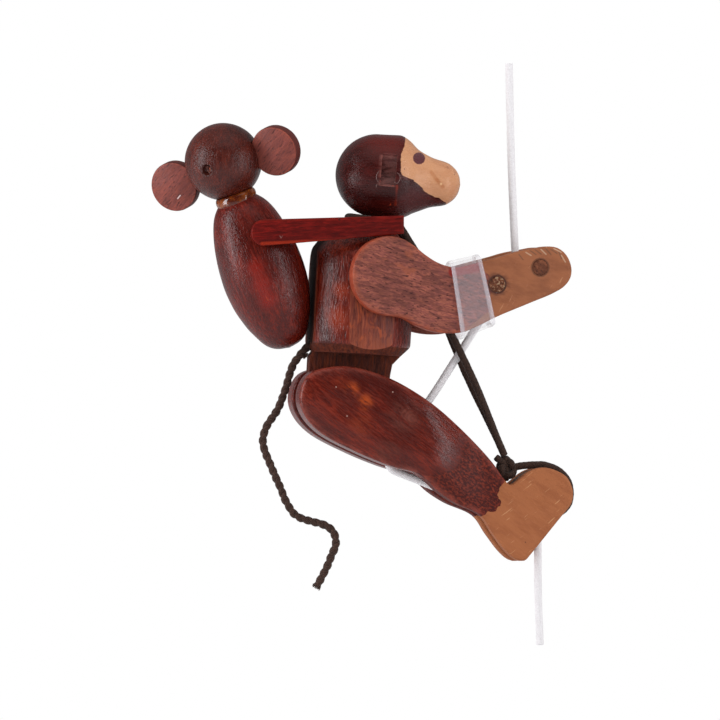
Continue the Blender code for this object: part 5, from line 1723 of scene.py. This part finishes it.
def leg_material(label):
    axis = Vector((0.80, 0.0, -0.60))
    wood = Wood(
        f"{label}_leg_wood", axis, (98, 24, 11), (58, 12, 8), (130, 38, 15),
        cloud=0.55, streak=0.75, fleck=0.55, fleck_stretch=6.0, scale=1.2,
    )
    for pixel, full, none, colour, amount in LEG_GLOWS:
        breaks = wood.between(wood.noise(wood.wide, 0.35, 3.0, 0.6, 0.6), 0.36, 0.58)
        wood.tint(wood.times(wood.near(pixel_at(pixel, LEG_GLOW_DEPTH), full, none), breaks), colour, amount)
    whorl = pixel_at(LEG_WHORL, LEG_WHORL_DEPTH)
    rings = wood.node(
        "ShaderNodeTexWave", {"wave_type": "RINGS", "rings_direction": "Y"},
        Vector=wood.mapped(wood.place(), Location=tuple(-whorl), Scale=(1.0, 0.3, 1.0)),
        Scale=210.0, Distortion=7.0, Detail=2.0, Detail_Scale=0.35,
    ).outputs["Fac"]
    wood.tint(wood.times(wood.between(rings, 0.35, 0.75), wood.near(whorl, 3.0, 15.0)), (66, 22, 18), 0.28)
    wood.tint(wood.attribute("wall"), (122, 44, 38), 0.45)
    ankle = wood.between(wood.attribute("ankle"), -0.5, 0.7)
    speckle = wood.noise(wood.grain_space(axis, 1.7), 1.25, 4.0, 0.7)
    mottle = wood.mix(wood.between(speckle, 0.44, 0.60), (66, 14, 9), (122, 40, 20))
    mottle = wood.mix(wood.between(speckle, 0.62, 0.72, 0.0, 0.7), mottle, (168, 78, 42))
    wood.tint(ankle, mottle, 0.9)
    wood.worn_edges((160, 78, 64), 0.55)
    scratches = ((0.78, 0.0, 0.62), (214, 158, 112), 0.6)
    painted = wood.paint_over(axis, (172, 104, 64), (156, 90, 54), 0.8, scratches)
    if label == "near":
        for pixel in LEG_SPECKS:
            wood.dot(pixel_at(pixel, LEG_SPECK_DEPTH), 0.12, 0.34, (224, 190, 176), 0.8)
        wood.dot(pixel_at(FOOT_SPECK, FOOT_SPECK_DEPTH), 0.12, 0.34, (84, 50, 38), 0.9)
    wood.rough = wood.times(wood.math("ADD", painted, ankle), 0.08)
    wood.dull = wood.between(wood.attribute("ankle"), -6.0, 2.0, 0.0, 0.6)
    return wood.finish(0.27, 0.12, 0.26, 0.22, 0.8, 0.3)


def strap_material():
    wood = Wood(
        "young_arm_stain", (1.0, 0.0, 0.05), (98, 9, 5), (58, 5, 4), (136, 16, 6),
        cloud=0.5, streak=0.8, fleck=0.6, fleck_stretch=6.0, scale=1.2,
    )
    wood.worn_edges((132, 30, 14), 0.5)
    lower_edge = [pixel_at(pixel, STRAP_DEPTH) for pixel in STRAP_LOWER_EDGE]
    wood.stroke(*lower_edge, 0.3, 1.0, (168, 44, 12), 0.7)
    nick = pixel_at(STRAP_NICK, STRAP_DEPTH)
    for lean in (-0.5, 0.6):
        wood.stroke(nick + Vector((lean, 0.0, 0.9)) * MM, nick, 0.05, 0.26, (220, 180, 170), 0.7)
    wood.dot(pixel_at(STRAP_DARK_SPOT, STRAP_DEPTH), 0.25, 0.7, (60, 20, 14), 0.8)
    return wood.finish(0.42, 0.1, 0.1, 0.3, 0.4, 0.16, 0.12)


def young_body_material():
    wood = Wood(
        "young_body_wood", BABY_AXIS, (96, 20, 10), (56, 11, 8), (132, 34, 14),
        cloud=0.55, streak=0.75, fleck=0.6, relief=(3.5, 1.3),
    )
    for pixel, none, amount in YOUNG_GLOWS:
        wood.spot(pixel_at(pixel, YOUNG_GLOW_DEPTH), 0.5, none, (142, 24, 8), amount)
    for start, end in YOUNG_SCRATCHES:
        ends = [pixel_at(pixel, YOUNG_SCRATCH_DEPTH) for pixel in (start, end)]
        wood.stroke(*ends, 0.1, 0.55, (184, 76, 34), 0.5)
    wood.worn_edges((150, 72, 48), 0.4)
    return wood.finish(0.26, 0.14, 0.25, 0.25, 1.0, 0.34, 0.2)


def young_head_material():
    wood = Wood(
        "young_head_wood", UP, (80, 27, 19), (46, 15, 12), (106, 38, 22),
        cloud=0.55, streak=0.7, fleck=0.55, fleck_stretch=4.0, relief=(1.6, 1.6),
    )
    nose = wood.attribute("nose")
    wood.tint(wood.between(nose, 2.0, 3.4, 1.0, 0.0), (66, 28, 22), 0.7)
    torn = wood.between(wood.noise(wood.grain_space(BABY_FACE, 1.0), 0.9, 3.0, 0.6), 0.42, 0.6)
    wood.tint(wood.between(nose, 1.5, 2.1, 1.0, 0.0), wood.mix(torn, (58, 18, 14), (150, 74, 50)))
    return wood.finish(0.25, 0.14, 0.22, 0.24, 1.0, 0.34, 0.18)


def ear_material(name, axis, scratch=None):
    """An ear's faces are paler than its rim."""
    wood = Wood(
        name, axis, (132, 66, 58), (68, 30, 28), (158, 78, 60),
        fleck_stretch=5.0, streak=0.6, fleck=0.85, cloud=0.3, band=0.3, scale=1.5,
    )
    wood.worn_edges((176, 84, 60), 0.5)
    normal = wood.node("ShaderNodeNewGeometry").outputs["Normal"]
    facing = wood.math("ABSOLUTE", wood.vector("DOT_PRODUCT", normal, BABY_FACE))
    wood.tint(wood.between(facing, 0.35, 0.8, 1.0, 0.0), (86, 34, 30), 0.8)
    if scratch is not None:
        ends = [pixel_on_plane(pixel, baby_ear_face(-1.0), BABY_FACE) for pixel in scratch]
        wood.stroke(*ends, 0.08, 0.34, (236, 214, 210), 0.9)
    return wood.finish(0.48, 0.14, 0.08, 0.4, 0.5, 0.26)


def peg_material(name, torn):
    wood = Wood(
        name, ACROSS, (126, 70, 44), (66, 34, 24), (152, 92, 62),
        fleck_stretch=1.0, streak=0.6, fleck=0.8, cloud=0.6,
    )
    if torn:
        chips = wood.noise(wood.grain_space(ACROSS, 1.0), 1.0, 4.0, 0.7)
        wood.tint(wood.between(chips, 0.54, 0.62), (204, 168, 132), 0.85)
        wood.tint(wood.between(chips, 0.40, 0.48, 1.0, 0.0), (70, 40, 26), 0.8)
    return wood.finish(0.62, 0.16, 0.0, 0.5, 0.8, 0.26, 0.3)


def dowel_material():
    wood = Wood("dowel_wood", ACROSS, (112, 62, 42), (74, 40, 28), (140, 84, 56), streak=0.7)
    return wood.finish(0.6, 0.16, 0.0, 0.5, 0.6, 0.26, 0.2)


def spacer_material():
    wood = Wood("spacer_paint", (0.8, 0.0, -0.6), (140, 90, 60), (104, 64, 42), (160, 106, 72), streak=0.6)
    return wood.finish(0.55, 0.12, 0.04, 0.4, 0.5, 0.26)


# Light and floor


def make_world():
    """Even light, a dimmer surround for reflections, and white where the camera sees past the object."""
    world = bpy.data.worlds.new("studio")
    bpy.context.scene.world = world
    world.use_nodes = True
    world.node_tree.nodes.clear()
    nodes = Nodes(world.node_tree)

    def background(colour, strength):
        return nodes.node("ShaderNodeBackground", Color=colour, Strength=strength)

    def either(share, first, second):
        made = nodes.node("ShaderNodeMixShader")
        nodes.feed_first(made, share, first.outputs[0], second.outputs[0])
        return made

    path = nodes.node("ShaderNodeLightPath").outputs
    toward = nodes.node("ShaderNodeSeparateXYZ", Vector=nodes.node("ShaderNodeTexCoord").outputs["Generated"])
    mirrored = background(PALE, nodes.between(toward.outputs["Y"], -0.15, 0.55, 0.04, 0.25))
    lit = either(path["Is Glossy Ray"], background(PALE, WORLD_LIGHT), mirrored)
    seen = nodes.math("MAXIMUM", path["Is Camera Ray"], path["Is Transmission Ray"])
    nodes.node("ShaderNodeOutputWorld", Surface=either(seen, lit, background(WHITE, 1.0)).outputs[0])


def make_lamp(name, direction, distance, width, height, radiance, colour):
    data = bpy.data.lights.new(name, "AREA")
    data.shape = "RECTANGLE"
    data.size = width
    data.size_y = height
    data.energy = radiance * math.pi * width * height
    data.color = colour
    lamp = bpy.data.objects.new(name, data)
    bpy.context.scene.collection.objects.link(lamp)
    direction = Vector(direction).normalized()
    lamp.location = LAMP_AIM + direction * distance
    lamp.rotation_mode = "QUATERNION"
    lamp.rotation_quaternion = direction.to_track_quat("Z", "Y")


def make_floor():
    form = bmesh.new()
    bmesh.ops.create_grid(form, x_segments=2, y_segments=2, size=4.0)
    bmesh.ops.translate(form, verts=form.verts, vec=(0.0, 0.0, FLOOR_HEIGHT))
    graph = Graph("floor_paper")
    tone = graph.between(graph.noise(graph.place(), 3.0, 2.0, 0.5), 0.3, 0.7)
    path = graph.node("ShaderNodeLightPath").outputs
    seen = graph.math("MAXIMUM", path["Is Camera Ray"], path["Is Transmission Ray"])
    paper = graph.shade(
        Base_Color=graph.mix(tone, (212, 212, 213), (218, 218, 219)), Roughness=0.9, Specular_IOR_Level=0.1,
        Emission_Color=WHITE, Emission_Strength=graph.times(seen, FLOOR_GLOW),
    )
    mesh_piece("floor", form, paper)


def dress(node, material):
    """Gives one of the frame's own solids a finished material."""
    node.data.materials.clear()
    node.data.materials.append(material)


def main():
    bpy.context.scene.view_settings.view_transform = "Standard"
    make_camera()
    make_world()
    make_floor()
    make_lamp("left_window", (-0.965, -0.14, 0.2), 0.9, 0.22, 0.75, 8.0, (1.0, 0.97, 1.0))
    make_lamp("right_window", (0.72, -0.68, 0.12), 0.9, 0.16, 0.75, 6.0, (1.0, 0.97, 1.0))
    make_lamp("top_window", (-0.05, -0.35, 1.0), 1.0, 1.1, 0.9, 0.6, (1.0, 1.0, 1.0))

    make_string(string_material())
    make_elastic(dark_cord_material("brown_braid", (38, 23, 16), (80, 54, 40)))
    make_tail(dark_cord_material("tail_twist", (44, 28, 20), (88, 58, 44)))

    wood = head_wood()
    tree = make_head(wood.material)
    finish_head(wood, tree)
    make_glue_traces(tree, glue_trace_material())
    make_far_ear(ear_material("far_ear_wood", (0.3, 0.2, 1.0)))
    make_torso((torso_material(), underside_material(), flat_material()))
    arm = arm_material()
    for label, side in (("near", -1.0), ("far", 1.0)):
        make_arm(label, side, arm)
    make_peg("front", FRONT_PEG, 0.6, peg_material("front_peg_end", False))
    make_peg("rear", REAR_PEG, 1.6, peg_material("rear_peg_end", True))
    for label, side in (("near", -1.0), ("far", 1.0)):
        make_leg(label, side, leg_material(label))
    make_cuff((cuff_material("clear_cuff", 0.11), cuff_material("cuff_edges", 0.3)))

    make_baby_body(young_body_material())
    make_baby_head(young_head_material())
    make_baby_ears(ear_material("young_ear_wood", (0.55, -0.45, 0.7), YOUNG_EAR_SCRATCH))
    make_neck_glue(glue_material())
    strap = strap_material()
    for label, side in (("near", -1.0), ("far", 1.0)):
        make_baby_arm(label, side, strap)

    dowel = dowel_material()
    for node in (
        "neck_dowel", "near_shoulder_dowel", "far_shoulder_dowel", "hip_pin", "knee_pin", "heel_dowel",
        "baby_neck_dowel", "baby_arm_pin",
    ):
        dress(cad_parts[node], dowel)
    dress(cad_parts["foot_spacer"], spacer_material())


main()
